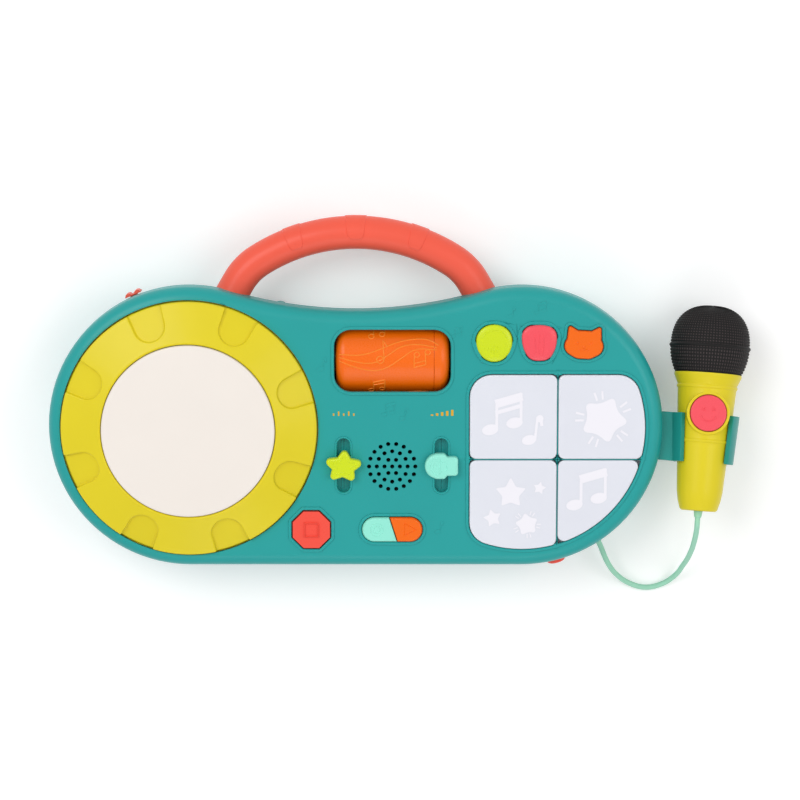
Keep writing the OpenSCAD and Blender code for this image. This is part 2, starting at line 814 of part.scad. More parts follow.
module drum_base() {
    color(deep_teal) at(left_lobe) difference() {
        union() {
            translate([0, 0, plate_z]) cylinder(r = plate_r, h = plate_t);
            translate([0, 0, plate_z]) cylinder(r = hub_r, h = hub_top - plate_z);
        }
        translate([0, 0, plate_top]) cylinder(r = hook_r + 0.5, h = hook_z + hook_h + run_gap - plate_top);
        translate([0, 0, plate_top]) cylinder(r = hub_r - hub_t, h = 40);
        for (a = [45:90:315])
            translate(concat(plate_post_r * [cos(a), sin(a)], plate_z - 1))
                cylinder(r = small_screw_r + 0.3, h = 10);
    }
}

// Height of the ring's sloping face at a distance from its centre.
function slope_z(r) = ring_top - (r - ring_bore) * tan(ring_slope);

module scallop() {
    mouth = 11.6;
    reach = 18;
    translate([scallop_at, 0, slope_z(scallop_at)]) rotate([0, ring_slope, 0])
        translate([0, 0, -scallop_d]) linear_extrude(height = 12) {
            circle(r = scallop_r);
            polygon([[0, -scallop_r], [reach, -mouth], [reach, mouth], [0, scallop_r]]);
        }
}

module turntable_ring() {
    edge = 1.2;
    hollow_top = front_z - 2;
    color(yellow) at(left_lobe) difference() {
        rotate_extrude() difference() {
            offset(r = edge, $fn = 20) offset(delta = -edge) polygon([
                [ring_bore, ring_z], [ring_bore, ring_top], [ring_r, ring_edge_z],
                [ring_r, flange_top], [ring_r + flange_over, flange_top], [ring_r + flange_over, ring_z]]);
            translate([ring_bore + 5, ring_z - 1]) square([ring_r - ring_bore - 8, hollow_top - ring_z + 1]);
        }
        for (i = [0:scallops - 1])
            rotate([0, 0, scallop_turn + i * 360 / scallops]) scallop();
    }
}

module drum_head() {
    steps = 8;
    edge = 1.2;
    low = head_z - head_t;
    color(cream) at(left_lobe) rotate_extrude() polygon(concat(
        [for (i = [0:steps]) let (r = (drum_r - edge) * i / steps)
            [r, head_z + drum_crown * (1 - pow(r / (drum_r - edge), 2))]],
        [[drum_r - edge * 0.3, head_z - edge * 0.3], [drum_r, head_z - edge], [drum_r, low], [skirt_r, low],
         [skirt_r, hook_z + hook_h], [hook_r, hook_z + hook_h], [hook_r, hook_z], [skirt_r - skirt_t, hook_z],
         [skirt_r - skirt_t, low], [0, low]]));
}

sensor_r = 13.5;
sensor_t = 1.2;
foam_r = 11;

module drum_sensor() {
    color("#c9a64a") at(left_lobe) translate([0, 0, plate_top]) {
        cylinder(r = sensor_r, h = sensor_t * 0.6);
        cylinder(r = sensor_r - 3, h = sensor_t);
    }
}

module drum_foam() {
    color("#6b6f72") at(left_lobe) translate([0, 0, plate_top + sensor_t])
        cylinder(r = foam_r, h = head_z - head_t - run_gap - plate_top - sensor_t);
}

// The roller lies along X in its window.
module on_roller() {
    translate([window_at.x, window_at.y, roller_z]) rotate([0, 90, 0]) children();
}

roller_round = 6;
roller_split = roller_l / 2 - roller_round - 2;
roller_bore = axle_r + axle_gap;
roller_hub_r = 5;
round_steps = 6;
function roller_end(side) = [for (i = [0:round_steps]) let (a = 90 * i / round_steps)
    [roller_r - roller_round + roller_round * sin(a),
     side * (roller_l / 2 - roller_round + roller_round * cos(a))]];

module roller() {
    inner = roller_r - roller_wall;
    low = -roller_l / 2;
    color(orange) on_roller() rotate_extrude() polygon(concat(
        [[roller_bore, low]], roller_end(-1),
        [[roller_r, roller_split], [inner, roller_split], [inner, low + roller_round],
         [inner - roller_round + roller_wall, low + roller_wall], [roller_hub_r, low + roller_wall],
         [roller_hub_r, roller_split], [roller_bore, roller_split]]));
}

module roller_cap() {
    joint = roller_split + seat_gap;
    ends = roller_end(1);
    color(orange) on_roller() rotate_extrude() polygon(concat(
        [[roller_bore, joint], [roller_r, joint]],
        [for (i = [round_steps:-1:0]) ends[i]], [[roller_bore, roller_l / 2]]));
}

module roller_axle() {
    color(steel) on_roller() cylinder(r = axle_r, h = 2 * (cradle_x + cradle_t) + 2, center = true);
}

module roller_cradle() {
    foot = 14;
    top = 9;
    color(cream) at(window_at) {
        difference() {
            for (side = [-1, 1])
                translate([side * (cradle_x + cradle_t / 2) - cradle_t / 2, 0, 0]) rotate([90, 0, 90])
                    linear_extrude(height = cradle_t) polygon([[-foot, floor_z], [foot, floor_z],
                        [top, roller_z + 7], [-top, roller_z + 7]]);
            translate([0, 0, roller_z]) rotate([0, 90, 0])
                cylinder(r = axle_r + seat_gap / 2, h = 4 * cradle_x, center = true);
        }
        translate([-cradle_x - 1, -foot, floor_z]) cube([2 * cradle_x + 2, 2 * foot, 2.5]);
    }
}

// A push button: a flange under the face, a cap through it and a stem to its switch.
module button(top) {
    flange_z = under - run_gap;
    slab(flange_z - flange_t, flange_z) intersection() {
        offset(r = flange_w, $fn = outline_fn) children(0);
        children(1);
    }
    slab(flange_z - flange_t, top - cap_edge) children(0);
    slab(top - cap_edge - 0.1, top - cap_edge / 2) offset(delta = -cap_edge * 0.25) children(0);
    slab(top - cap_edge / 2 - 0.1, top) offset(delta = -cap_edge * 0.75) children(0);
    translate([0, 0, stem_z]) cylinder(r = stem_r, h = flange_z - stem_z);
}

module everywhere() {
    square(400, center = true);
}

module stop_button() {
    color(red) at(stop_at) button(cap_top) {
        stop_outline();
        everywhere();
    }
}

function half_stem(side) = [side * 9.5, 0];

module pill_button(side) {
    lean = 2.4;
    cut = 0.25;
    flange_z = under - run_gap;
    module half(grow) {
        intersection() {
            offset(r = grow + 0.001, $fn = outline_fn) pill_outline();
            polygon([[side * pill_w, -pill_h], [0.7 + 2 * lean + side * cut, -pill_h],
                     [0.7 - 2 * lean + side * cut, pill_h], [side * pill_w, pill_h]]);
        }
    }
    at(pill_at) {
        slab(flange_z - flange_t, flange_z) half(flange_w);
        slab(flange_z - flange_t, cap_top - cap_edge) half(0);
        slab(cap_top - cap_edge - 0.1, cap_top - cap_edge / 2) half(-cap_edge * 0.25);
        slab(cap_top - cap_edge / 2 - 0.1, cap_top) half(-cap_edge * 0.75);
        translate([half_stem(side).x, 0, stem_z]) cylinder(r = stem_r, h = flange_z - stem_z);
    }
}

module record_button() {
    color(mint) pill_button(-1);
}

module play_button() {
    color(orange) pill_button(1);
}

module shape_button(i) {
    at(shape_at(i)) button(cap_top) {
        shape_outline(i);
        everywhere();
    }
}

module lime_button() {
    color(lime) shape_button(0);
}

module pink_button() {
    color(pink) shape_button(1);
}

module cat_button() {
    color(orange) shape_button(2);
}

// A light-up pad: a hollow cap whose skirt clears the ribs and whose flange runs under them.
module pad(i) {
    skirt_in = rib_w / 2 + run_gap;
    over = under + 0.5 + press + run_gap;
    flange_z = pad_flange_z + pad_flange_t;
    module skirt(inset) {
        offset(delta = -inset) intersection() {
            pad_outline(i);
            pad_quarter(i, skirt_in);
        }
    }
    color(milk) {
        difference() {
            union() {
                slab(pad_flange_z, flange_z) intersection() {
                    offset(r = flange_w, $fn = outline_fn) field_outline();
                    pad_quarter(i, pad_gap / 2);
                }
                slab(pad_flange_z, over + 0.2) skirt(0);
                slab(over, pad_top - 0.6) pad_outline(i);
                slab(over, pad_top) offset(delta = -0.7) pad_outline(i);
            }
            slab(pad_flange_z - 1, pad_top - pad_wall) skirt(pad_wall);
        }
        at(pad_middle(i)) translate([0, 0, stem_z]) cylinder(r = stem_r, h = pad_top - 1 - stem_z);
    }
}

pad_wall = 2.4;

module pad_1() { pad(1); }
module pad_2() { pad(2); }
module pad_3() { pad(3); }
module pad_4() { pad(4); }

// A slider: a knob on a neck in the slot, a tongue through the slit and a carriage under the pocket.
neck_w = 5.4;
neck_l = 9;
slot_floor = front_z - slot_depth;
pocket_low = slot_floor - pocket_t;
fader_h = 3.9;

module slider(knob_z) {
    slab(knob_z, front_z + knob_rise - 0.8) children();
    slab(front_z + knob_rise - 1, front_z + knob_rise) offset(delta = -0.8) children();
    slab(slot_floor + run_gap, knob_z + 0.5) rounded_box(neck_w, neck_l, 2);
    slab(board_z + 1.6, slot_floor + 1) square([tongue_w, tongue_l], center = true);
    slab(pocket_low - run_gap - carriage_t, pocket_low - run_gap) square([9, 13], center = true);
}

module tempo_slider() {
    color(lime) at(tempo_at) slider(front_z + lip_h + 0.5) star_outline();
}

module volume_slider() {
    color(mint) at(volume_at) slider(front_z + lip_h + 0.5) horn_outline();
}

module fader(p) {
    color("#55595c") at(p) difference() {
        slab(board_z, board_z + fader_h) square([9, slot_l + 4], center = true);
        slab(board_z + 1, board_z + fader_h + 1) square([slit_w, slot_l - 1], center = true);
    }
}

module tempo_fader() { fader(tempo_at); }
module volume_fader() { fader(volume_at); }

module speaker_basket() {
    back = under - speaker_depth + 7.5;
    color(steel) at(speaker_at) rotate_extrude() polygon([[speaker_r - 2.6, under], [speaker_r, under],
        [speaker_r, under - 2], [speaker_r - 1, under - 2], [12, back], [0, back], [0, back + 1.2],
        [11.2, back + 1.2], [speaker_r - 2.6, under - 2.4]]);
}

module speaker_cone() {
    back = under - speaker_depth + 7.5;
    r = speaker_r - 2.6 - 0.3;
    color(black) at(speaker_at) rotate_extrude() polygon([[r, under - 0.9], [r, under - 1.8],
        [5.2, back + 2.4], [0, back + 2.4], [0, back + 4.4], [3, back + 4], [5, back + 3.4],
        [r - 1.4, under - 0.9]]);
}

module speaker_magnet() {
    color("#4a4d50") at(speaker_at) translate([0, 0, under - speaker_depth]) cylinder(r = 12, h = 7.5);
}

module control_board() {
    color(board_green) difference() {
        slab(board_z - board_t, board_z) difference() {
            polygon([[-42, -77], [58.4, -77], [58.4, 6], [46, 6], [46, -2], [-42, -2]]);
            at(speaker_at) circle(r = speaker_r + 1.6);
            at(case_screws_at[2]) circle(r = boss_r + 0.5);
        }
        for (p = control_posts_at)
            at(p) translate([0, 0, board_z - 5]) cylinder(r = small_screw_r + 0.3, h = 10);
    }
}

module pad_board() {
    color(board_green) difference() {
        slab(board_z - board_t, board_z) intersection() {
            at(right_lobe) circle(r = lobe_r - 15);
            translate([70, -100]) square([130, 161]);
        }
        for (p = pad_posts_at)
            at(p) translate([0, 0, board_z - 5]) cylinder(r = small_screw_r + 0.3, h = 10);
    }
}

module tact_switch() {
    translate([-switch_w / 2, -switch_w / 2, board_z]) cube([switch_w, switch_w, switch_h - 0.8]);
    translate([0, 0, board_z]) cylinder(r = 1.75, h = switch_h);
}

module tact_switches() {
    color("#3a3d40") {
        at(stop_at) tact_switch();
        for (side = [-1, 1])
            at(pill_at + half_stem(side)) tact_switch();
        for (i = [0:2])
            at(shape_at(i)) tact_switch();
        for (i = [1:4])
            at(pad_middle(i)) tact_switch();
    }
}

module pad_lamps() {
    color("#f6f2d8") for (i = [1:4])
        at(pad_middle(i) + [i % 2 == 1 ? 10 : -10, 0]) translate([0, 0, board_z]) {
            cylinder(r = 3, h = 1);
            cylinder(r = 2.5, h = 3.5);
            translate([0, 0, 3.5]) sphere(r = 2.5);
        }
}

module power_switch() {
    out = lobe_r + run_gap;
    bump_r = 1.9;
    color(coral) rim(left_lobe, power_turn, power_z) {
        translate([out, -5.4, -4]) cube([1.4, 10.8, 8]);
        for (side = [-1, 1])
            translate([out + bump_r, side * 3, -4]) cylinder(r = bump_r, h = 8);
        translate([lobe_r - 7, -power_neck_w / 2, -power_neck_h / 2]) cube([8, power_neck_w, power_neck_h]);
        translate([lobe_r - 7.6, -6, -3.4]) cube([2.4, 12, 6.8]);
    }
}

module power_switch_body() {
    color("#55595c") rim(left_lobe, power_turn, power_z)
        translate([power_body_x - 4, -7, -switch_half])
            cube([lobe_r - 8 - power_body_x + 4, 14, 2 * switch_half]);
}

module mode_button() {
    end = lobe_r + mode_out;
    soft = 2.4;
    color(red) rim(right_lobe, mode_turn, mode_z) rotate([0, 90, 0]) rotate_extrude() polygon(concat(
        [[0, lobe_r - 8.6], [mode_r + 1.3, lobe_r - 8.6], [mode_r + 1.3, lobe_r - 6.6], [mode_r, lobe_r - 6.6]],
        [for (i = [0:5]) let (a = 90 * i / 5) [mode_r - soft + soft * cos(a), end - soft + soft * sin(a)]],
        [[0, end]]));
}

module mode_switch() {
    top = lobe_r - 8.6 - mode_travel - 0.2;
    color("#3a3d40") rim(right_lobe, mode_turn, mode_z)
        translate([mode_switch_x - 4, -switch_half, -switch_half])
            cube([top - mode_switch_x + 4, 2 * switch_half, 2 * switch_half]);
}

// The case's outside on the right lobe, grown by a clearance.
module right_side(gap) {
    at(right_lobe) {
        cylinder(r1 = side_r(0) + gap, r2 = lobe_r + gap, h = seam_z);
        translate([0, 0, seam_z]) cylinder(r = lobe_r + gap, h = 40);
    }
}

gland_face = lobe_r + gland_out;

module cord_gland() {
    color(teal) {
        difference() {
            rim(right_lobe, gland_turn, gland_z) rotate([0, 90, 0]) translate([0, 0, lobe_r - 8]) {
                cylinder(r = gland_r, h = 7 + gland_out);
                cylinder(r = gland_r - 1, h = 8 + gland_out);
            }
            right_side(seat_gap);
        }
        rim(right_lobe, gland_turn, gland_z) rotate([0, 90, 0]) {
            translate([0, 0, lobe_r - 11]) cylinder(r = gland_shank_r, h = 11);
            translate([0, 0, lobe_r - 11]) cylinder(r = gland_shank_r + 2, h = 2.5);
        }
    }
}

gland_way = [cos(gland_turn), sin(gland_turn), 0];
gland_end = [right_lobe.x, right_lobe.y, gland_z] + gland_face * gland_way;
tail_at = [lobe_x + lobe_r, 0, 0] + mic_tail;
mic_way = [sin(mic_turn) * cos(mic_lean), cos(mic_turn) * cos(mic_lean), -sin(mic_lean)];
collar_end = tail_at - collar_l * mic_way;
cord_path = concat([gland_end, gland_end + 4 * gland_way], cord_mid,
                   [collar_end - 4 * mic_way, collar_end]);

module mic_cord() {
    color(mint) tube(cord_path, cord_sides, [0, 0, 1], function(i, a) cord_r);
}

// The microphone's own frame: z runs from its tail to its head, and its button faces minus y.
module on_mic() {
    translate(tail_at) rotate([0, 0, -mic_turn]) rotate([-90 - mic_lean, 0, 0]) children();
}

function mic_r(s) = tail_r + (s - 12) * mic_slope;
function bead(s) = [[mic_r(s - 1.2), s - 1.2], [mic_r(s) + bead_h, s - 0.6], [mic_r(s) + bead_h, s + 0.6],
                    [mic_r(s + 1.2), s + 1.2]];
talk_face = mic_r(talk_at) + 0.5;
talk_wall = 1.8;

module mic_collar() {
    color(mint) on_mic() translate([0, 0, -collar_l])
        cylinder(r1 = collar_r - 0.6, r2 = collar_r, h = collar_l);
}

module mic_body() {
    inner = mic_wall;
    color(yellow) on_mic() difference() {
        union() {
            rotate_extrude() polygon(concat(
                [[0, 0], [tail_r - 3.8, 0], [tail_r - 2.6, 0.8], [tail_r - 1, 6], [tail_r, 12]],
                bead(bead_low), bead(bead_high),
                [[rim_r, rim_at - 0.6], [rim_r, rim_at + 1], [rim_r - inner, rim_at + 1],
                 [mic_r(bead_high) - inner, bead_high], [tail_r - inner, 12], [tail_r - inner - 2, 5],
                 [0, 5]]));
            translate([0, 0, talk_at]) rotate([90, 0, 0]) difference() {
                translate([0, 0, 6]) cylinder(r = talk_r + run_gap + talk_wall, h = talk_face - 6);
                rotate([-90, 0, 0]) translate([0, 0, -30]) cylinder(r = mic_r(talk_at) - inner, h = 60);
            }
        }
        translate([0, 0, talk_at]) rotate([90, 0, 0]) cylinder(r = talk_r + run_gap, h = 40);
    }
}

module mic_button() {
    end = talk_face + talk_rise;
    soft = 1;
    flange_top = 8.2;
    color(pink) on_mic() translate([0, 0, talk_at]) rotate([90, 0, 0]) rotate_extrude() polygon(concat(
        [[0, flange_top - 1.8], [talk_r + 0.9, flange_top - 1.8], [talk_r + 0.9, flange_top],
         [talk_r, flange_top]],
        [for (i = [0:4]) let (a = 90 * i / 4) [talk_r - soft + soft * cos(a), end - soft + soft * sin(a)]],
        [[0, end]]));
}

module mic_board() {
    color(board_green) on_mic() translate([0, 0, talk_at]) {
        translate([-13.8, 1, -12]) cube([27.6, 1.2, 26]);
        translate([-3, -4.6, -3]) cube([6, 6, 6]);
    }
}

module mic_capsule() {
    color("#55595c") on_mic() translate([0, 0, rim_at - 5.6]) {
        cylinder(r = mic_r(bead_high) - mic_wall, h = 1.5);
        cylinder(r = 5, h = 9);
    }
}

ball_steps = 9;
neck_z = rim_at + 1.1;
low_axis = (head_at - neck_z) / sqrt(1 - pow((rim_r - 0.7) / head_r, 2));
top_axis = mic_l - head_at;
function low_ball(inset) = [for (i = [0:ball_steps]) let (s = neck_z + (head_at - neck_z) * i / ball_steps)
    [head_r * sqrt(1 - pow((s - head_at) / low_axis, 2)) - inset, s]];
function top_ball(inset) = [for (i = [1:ball_steps]) let (a = 90 * i / ball_steps)
    [max(0, (head_r - inset) * cos(a)), head_at + (top_axis - inset) * sin(a)]];

module mic_head() {
    ball_wall = 3;
    spigot = rim_r - mic_wall - 0.3;
    spigot_low = spigot - 1.2;
    color(black) on_mic() rotate_extrude() polygon(concat(
        [[spigot_low - ball_wall, neck_z - 4], [spigot_low, neck_z - 4], [spigot, neck_z]],
        low_ball(0), top_ball(0), backwards(top_ball(ball_wall)), backwards(low_ball(ball_wall))));
}

module mic_ring() {
    ring_w = 2;
    ring_out = 0.8;
    color("#3f3a3a") on_mic() rotate_extrude() polygon([[head_r + 0.05, head_at - ring_w / 2],
        [head_r + ring_out, head_at - ring_w / 4], [head_r + ring_out, head_at + ring_w / 4],
        [head_r + 0.05, head_at + ring_w / 2]]);
}

function clip_r(s) = mic_r(s) + clip_play;
clip_to = clip_from + clip_l;

module mic_clip() {
    color(deep_teal) difference() {
        union() {
            on_mic() rotate([0, 0, -90 + clip_open]) rotate_extrude(angle = 360 - 2 * clip_open)
                polygon([[clip_r(clip_from), clip_from], [clip_r(clip_from) + clip_t, clip_from],
                         [clip_r(clip_to) + clip_t, clip_to], [clip_r(clip_to), clip_to]]);
            on_mic() difference() {
                translate([-45, -5, clip_from]) cube([45 - tail_r + 4, 15, clip_l]);
                translate([0, 0, clip_from - 1])
                    cylinder(r1 = clip_r(clip_from - 1) + 0.5, r2 = clip_r(clip_to + 1) + 0.5, h = clip_l + 2);
            }
        }
        right_side(seat_gap);
        for (a = clip_screws_turn)
            rim(right_lobe, a, clip_screw_z) rotate([0, 90, 0])
                cylinder(r = screw_r + seat_gap, h = lobe_r + 7);
    }
}

module clip_screws() {
    color(steel) for (a = clip_screws_turn)
        rim(right_lobe, a, clip_screw_z) rotate([0, 90, 0]) translate([0, 0, lobe_r - 6.2])
            screw(screw_r, 9.5, screw_head_r, screw_head_h);
}

front_shell();
rear_shell();
feet();
case_screws();
board_screws();
battery_door();
battery_door_screw();
batteries();
battery_contacts();
handle();
drum_base();
turntable_ring();
drum_head();
drum_sensor();
drum_foam();
roller();
roller_cap();
roller_axle();
roller_cradle();
stop_button();
record_button();
play_button();
lime_button();
pink_button();
cat_button();
pad_1();
pad_2();
pad_3();
pad_4();
tempo_slider();
volume_slider();
tempo_fader();
volume_fader();
speaker_basket();
speaker_cone();
speaker_magnet();
control_board();
pad_board();
tact_switches();
pad_lamps();
power_switch();
power_switch_body();
mode_button();
mode_switch();
cord_gland();
mic_cord();
mic_collar();
mic_body();
mic_head();
mic_ring();
mic_button();
mic_board();
mic_capsule();
mic_clip();
clip_screws();
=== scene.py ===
"""Dresses the toy music player: mouldings, prints, relief, cord, materials and stage."""

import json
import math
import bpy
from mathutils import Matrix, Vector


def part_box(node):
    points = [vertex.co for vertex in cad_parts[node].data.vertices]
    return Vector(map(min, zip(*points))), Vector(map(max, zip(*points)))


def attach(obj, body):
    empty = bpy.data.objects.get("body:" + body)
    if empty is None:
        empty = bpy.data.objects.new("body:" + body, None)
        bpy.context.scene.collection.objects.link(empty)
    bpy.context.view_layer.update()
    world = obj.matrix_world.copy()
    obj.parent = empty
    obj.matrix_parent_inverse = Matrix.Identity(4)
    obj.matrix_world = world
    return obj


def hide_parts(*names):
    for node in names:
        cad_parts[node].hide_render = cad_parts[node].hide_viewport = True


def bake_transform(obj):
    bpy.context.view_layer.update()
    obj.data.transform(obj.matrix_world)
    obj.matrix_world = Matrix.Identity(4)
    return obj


bl_info = {
    "name": "Toy music player",
    "version": (1, 0, 0),
    "blender": (4, 5, 0),
    "location": "View3D > Sidebar > Player",
    "description": "Builds the looks of a toy music player with a drum turntable and a microphone",
    "category": "Mesh",
}

import bmesh
import bpy
from mathutils import Matrix, Vector, geometry

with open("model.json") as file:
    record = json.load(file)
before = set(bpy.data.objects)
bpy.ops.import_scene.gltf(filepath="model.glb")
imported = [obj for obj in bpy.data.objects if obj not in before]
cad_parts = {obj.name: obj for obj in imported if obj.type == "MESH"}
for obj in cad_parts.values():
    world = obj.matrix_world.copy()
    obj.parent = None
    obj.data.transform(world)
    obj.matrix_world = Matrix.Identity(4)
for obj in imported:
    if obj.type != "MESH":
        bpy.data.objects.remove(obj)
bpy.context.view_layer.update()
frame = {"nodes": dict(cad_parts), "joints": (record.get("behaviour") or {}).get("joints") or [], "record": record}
RECORD = frame["record"]
BODY_OF = {node: body for body, nodes in RECORD["behaviour"]["bodies"].items() for node in nodes}
SLOT_OF = {row["node"]: row["material_slot"] for row in RECORD["subparts"]}
JOINTS = {joint["name"]: joint for joint in frame["joints"]}

# Places are in millimetres, as in the part's own frame; meshes are in metres.
MM = 0.001
LIP_H = 0.8
FACE_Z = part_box("front_shell")[1].z / MM - LIP_H
CAP_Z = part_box("stop_button")[1].z / MM
PAD_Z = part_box("pad_1")[1].z / MM
KNOB_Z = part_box("tempo_slider")[1].z / MM


def srgb(*levels):
    """Linear colour of 8-bit levels as they look on a screen."""
    return tuple(v / 3294.6 if v <= 10 else ((v / 255 + 0.055) / 1.055) ** 2.4 for v in levels)


def middle(node):
    """Centre of a node's box in millimetres."""
    low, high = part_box(node)
    return (low + high) / 2 / MM


# Properties


def colour_of(what, *levels):
    return bpy.props.FloatVectorProperty(
        name=what.capitalize(),
        description=f"Colour of the {what}",
        subtype="COLOR",
        size=3,
        min=0,
        max=1,
        default=srgb(*levels),
    )


def length_of(what, millimetres):
    return bpy.props.FloatProperty(
        name=what.capitalize(),
        description=f"Size of the {what}",
        unit="LENGTH",
        min=0,
        precision=5,
        default=millimetres * MM,
    )


class PlayerColours(bpy.types.PropertyGroup):
    """Colours of the player's plastics and small parts."""

    teal: colour_of("case", 36, 161, 159)
    deep_teal: colour_of("clip and drum base", 36, 150, 142)
    coral: colour_of("handle and power tab", 246, 96, 74)
    yellow: colour_of("turntable ring and microphone", 230, 211, 34)
    cream: colour_of("drum head", 244, 236, 228)
    orange: colour_of("roller, play and cat buttons", 250, 108, 4)
    # A paler orange for the roller's raised lines: a painted highlight, as if the lines catch the light.
    pale_orange: colour_of("lines on the roller", 252, 140, 40)
    lime: colour_of("lime button and star knob", 212, 230, 26)
    pink: colour_of("pink buttons", 250, 86, 98)
    red: colour_of("stop button and mode peg", 248, 84, 68)
    mint: colour_of("record button and volume knob", 152, 238, 218)
    milk: colour_of("light-up pads", 230, 232, 241)
    print_white: colour_of("prints on the pads", 246, 244, 251)
    label: colour_of("marks over the sliders", 226, 172, 42)
    cord: colour_of("cord", 160, 220, 192)
    dark: colour_of("microphone head", 14, 12, 12)
    # A paler colour for the raised tops of the head's grains: a painted highlight on one dark plastic.
    grain: colour_of("grains of the microphone's head", 62, 54, 54)
    cone: colour_of("loudspeaker cone", 26, 25, 25)
    steel: colour_of("screws and axle", 190, 194, 198)
    brass: colour_of("sensor disc", 205, 168, 80)
    foam: colour_of("damper foam", 108, 112, 116)
    rubber: colour_of("feet", 56, 70, 70)
    board: colour_of("circuit boards", 40, 104, 66)
    switch: colour_of("switches and faders", 62, 64, 68)
    magnet: colour_of("loudspeaker magnet", 76, 78, 82)
    cell: colour_of("battery cells", 140, 144, 150)
    lamp: colour_of("lamps", 246, 242, 220)
    floor: colour_of("floor", 250, 250, 250)


class PlayerSizes(bpy.types.PropertyGroup):
    """Sizes that shape the look of the player."""

    lip_edge: length_of("rounding of the lips on the face", 0.5)
    ring_edge: length_of("rounding of the scallops", 0.95)
    small_edge: length_of("rounding of small pieces", 0.3)
    button_round: length_of("rounding of the buttons' tops", 1.5)
    pad_round: length_of("rounding of the pads' tops", 0.8)
    knob_round: length_of("rounding of the slider knobs", 1.5)
    print_rise: length_of("thickness of the prints", 0.05)
    relief_rise: length_of("rise of the relief on the face", 0.22)
    grip: length_of("radius of the grip", 10.3)
    thumb_rise: length_of("rise of the thumb pads", 0.45)
    cord_diameter: length_of("diameter of the cord", 3.4)
    knurl: length_of("rise of the grains on the microphone's head", 0.5)


# Materials


class Wire:
    """A shader socket that Python operators extend with Math nodes."""

    def __init__(self, finish, socket):
        self.finish = finish
        self.socket = socket

    def math(self, operation, first, second):
        node = self.finish.node("ShaderNodeMath", {"operation": operation}, {0: first, 1: second})
        return self.finish.wire(node)

    def __radd__(self, other):
        return self.math("ADD", other, self)

    def __rsub__(self, other):
        return self.math("SUBTRACT", other, self)

    def __rmul__(self, other):
        return self.math("MULTIPLY", other, self)

    def over(self, level):
        """One where the value is above a level, and zero elsewhere."""
        return self.math("GREATER_THAN", self, level)


class Nodes:
    """The nodes of a material or a world, written as expressions."""

    def __init__(self, owner):
        owner.use_nodes = True
        self.tree = owner.node_tree
        self.tree.nodes.clear()

    def node(self, kind, settings=None, sockets=None):
        node = self.tree.nodes.new(kind)
        for key, value in (settings or {}).items():
            setattr(node, key, value)
        for key, value in (sockets or {}).items():
            self.feed(node.inputs[key], value)
        return node

    def feed(self, socket, value):
        if isinstance(value, Wire):
            self.tree.links.new(value.socket, socket)
        elif socket.type == "RGBA" and len(value) == 3:
            socket.default_value = (*value, 1)
        else:
            socket.default_value = value

    def wire(self, node, output=0):
        return Wire(self, node.outputs[output])

    def seen(self):
        """One for rays from the camera, a gloss or a clear piece, and zero for other light."""
        path = self.node("ShaderNodeLightPath")
        seen = self.wire(path, "Is Camera Ray")
        for ray in ("Is Glossy Ray", "Is Transmission Ray"):
            seen = seen.math("MAXIMUM", seen, self.wire(path, ray))
        return seen


class Finish(Nodes):
    """A material in the making."""

    def __init__(self, name):
        self.material = bpy.data.materials.new(name)
        super().__init__(self.material)
        self.place = self.wire(self.node("ShaderNodeTexCoord"), "Object")

    def noise(self, scale, detail=2.0, stretch=None):
        place = self.place
        if stretch:
            place = self.wire(self.node("ShaderNodeMapping", None, {"Vector": place, "Scale": stretch}))
        sockets = {"Vector": place, "Scale": scale, "Detail": detail}
        return self.wire(self.node("ShaderNodeTexNoise", None, sockets))

    def grains(self, scale):
        """Distance to the nearest of many scattered points."""
        node = self.node("ShaderNodeTexVoronoi", None, {"Vector": self.place, "Scale": scale})
        return self.wire(node, "Distance")

    def mix(self, factor, first, second):
        node = self.node("ShaderNodeMix", {"data_type": "RGBA"}, {0: factor, 6: first, 7: second})
        return self.wire(node, 2)

    def bump(self, height, strength, distance):
        node = self.node(
            "ShaderNodeBump", None, {"Height": height, "Strength": strength, "Distance": distance}
        )
        return self.wire(node)

    def surface(self, **sockets):
        """The principled shader, with socket names written with underscores, straight to the output."""
        names = {key.replace("_", " "): value for key, value in sockets.items()}
        shader = self.node("ShaderNodeBsdfPrincipled", None, names)
        self.node("ShaderNodeOutputMaterial", None, {"Surface": self.wire(shader)})
        return self.material


def shade(colour, share):
    return tuple(min(1.0, share * level) for level in colour)


def moulded(name, colour, rough=0.36, coat=0.06, cloud=0.04):
    """Moulded plastic: faint clouding in its colour, a fine grain and a smooth skin."""
    finish = Finish(name)
    drift = finish.noise(28, 3)
    grain = finish.noise(1500, 2)
    return finish.surface(
        Base_Color=finish.mix(drift, shade(colour, 1 - cloud), shade(colour, 1 + cloud)),
        Roughness=rough - 0.05 + 0.1 * grain,
        Normal=finish.bump(grain, 0.12, 0.05 * MM),
        Specular_IOR_Level=0.24,
        Coat_Weight=coat,
        Coat_Roughness=0.12,
    )


def milky(name, colour):
    """Translucent white plastic with soft depth."""
    finish = Finish(name)
    drift = finish.noise(40, 2)
    grain = finish.noise(1200, 2)
    return finish.surface(
        Base_Color=finish.mix(drift, shade(colour, 0.975), shade(colour, 1.02)),
        Roughness=0.3 + 0.08 * grain,
        Normal=finish.bump(grain, 0.08, 0.04 * MM),
        Subsurface_Weight=0.25,
        Subsurface_Radius=(1.0, 1.0, 1.0),
        Subsurface_Scale=1.5 * MM,
        Coat_Weight=0.1,
    )


def sheathed(name, colour):
    """Soft cord sheath with faint drawn streaks."""
    finish = Finish(name)
    drift = finish.noise(60, 2)
    grain = finish.noise(900, 3)
    return finish.surface(
        Base_Color=finish.mix(drift, shade(colour, 0.95), shade(colour, 1.05)),
        Roughness=0.42 + 0.12 * grain,
        Normal=finish.bump(grain, 0.15, 0.05 * MM),
    )


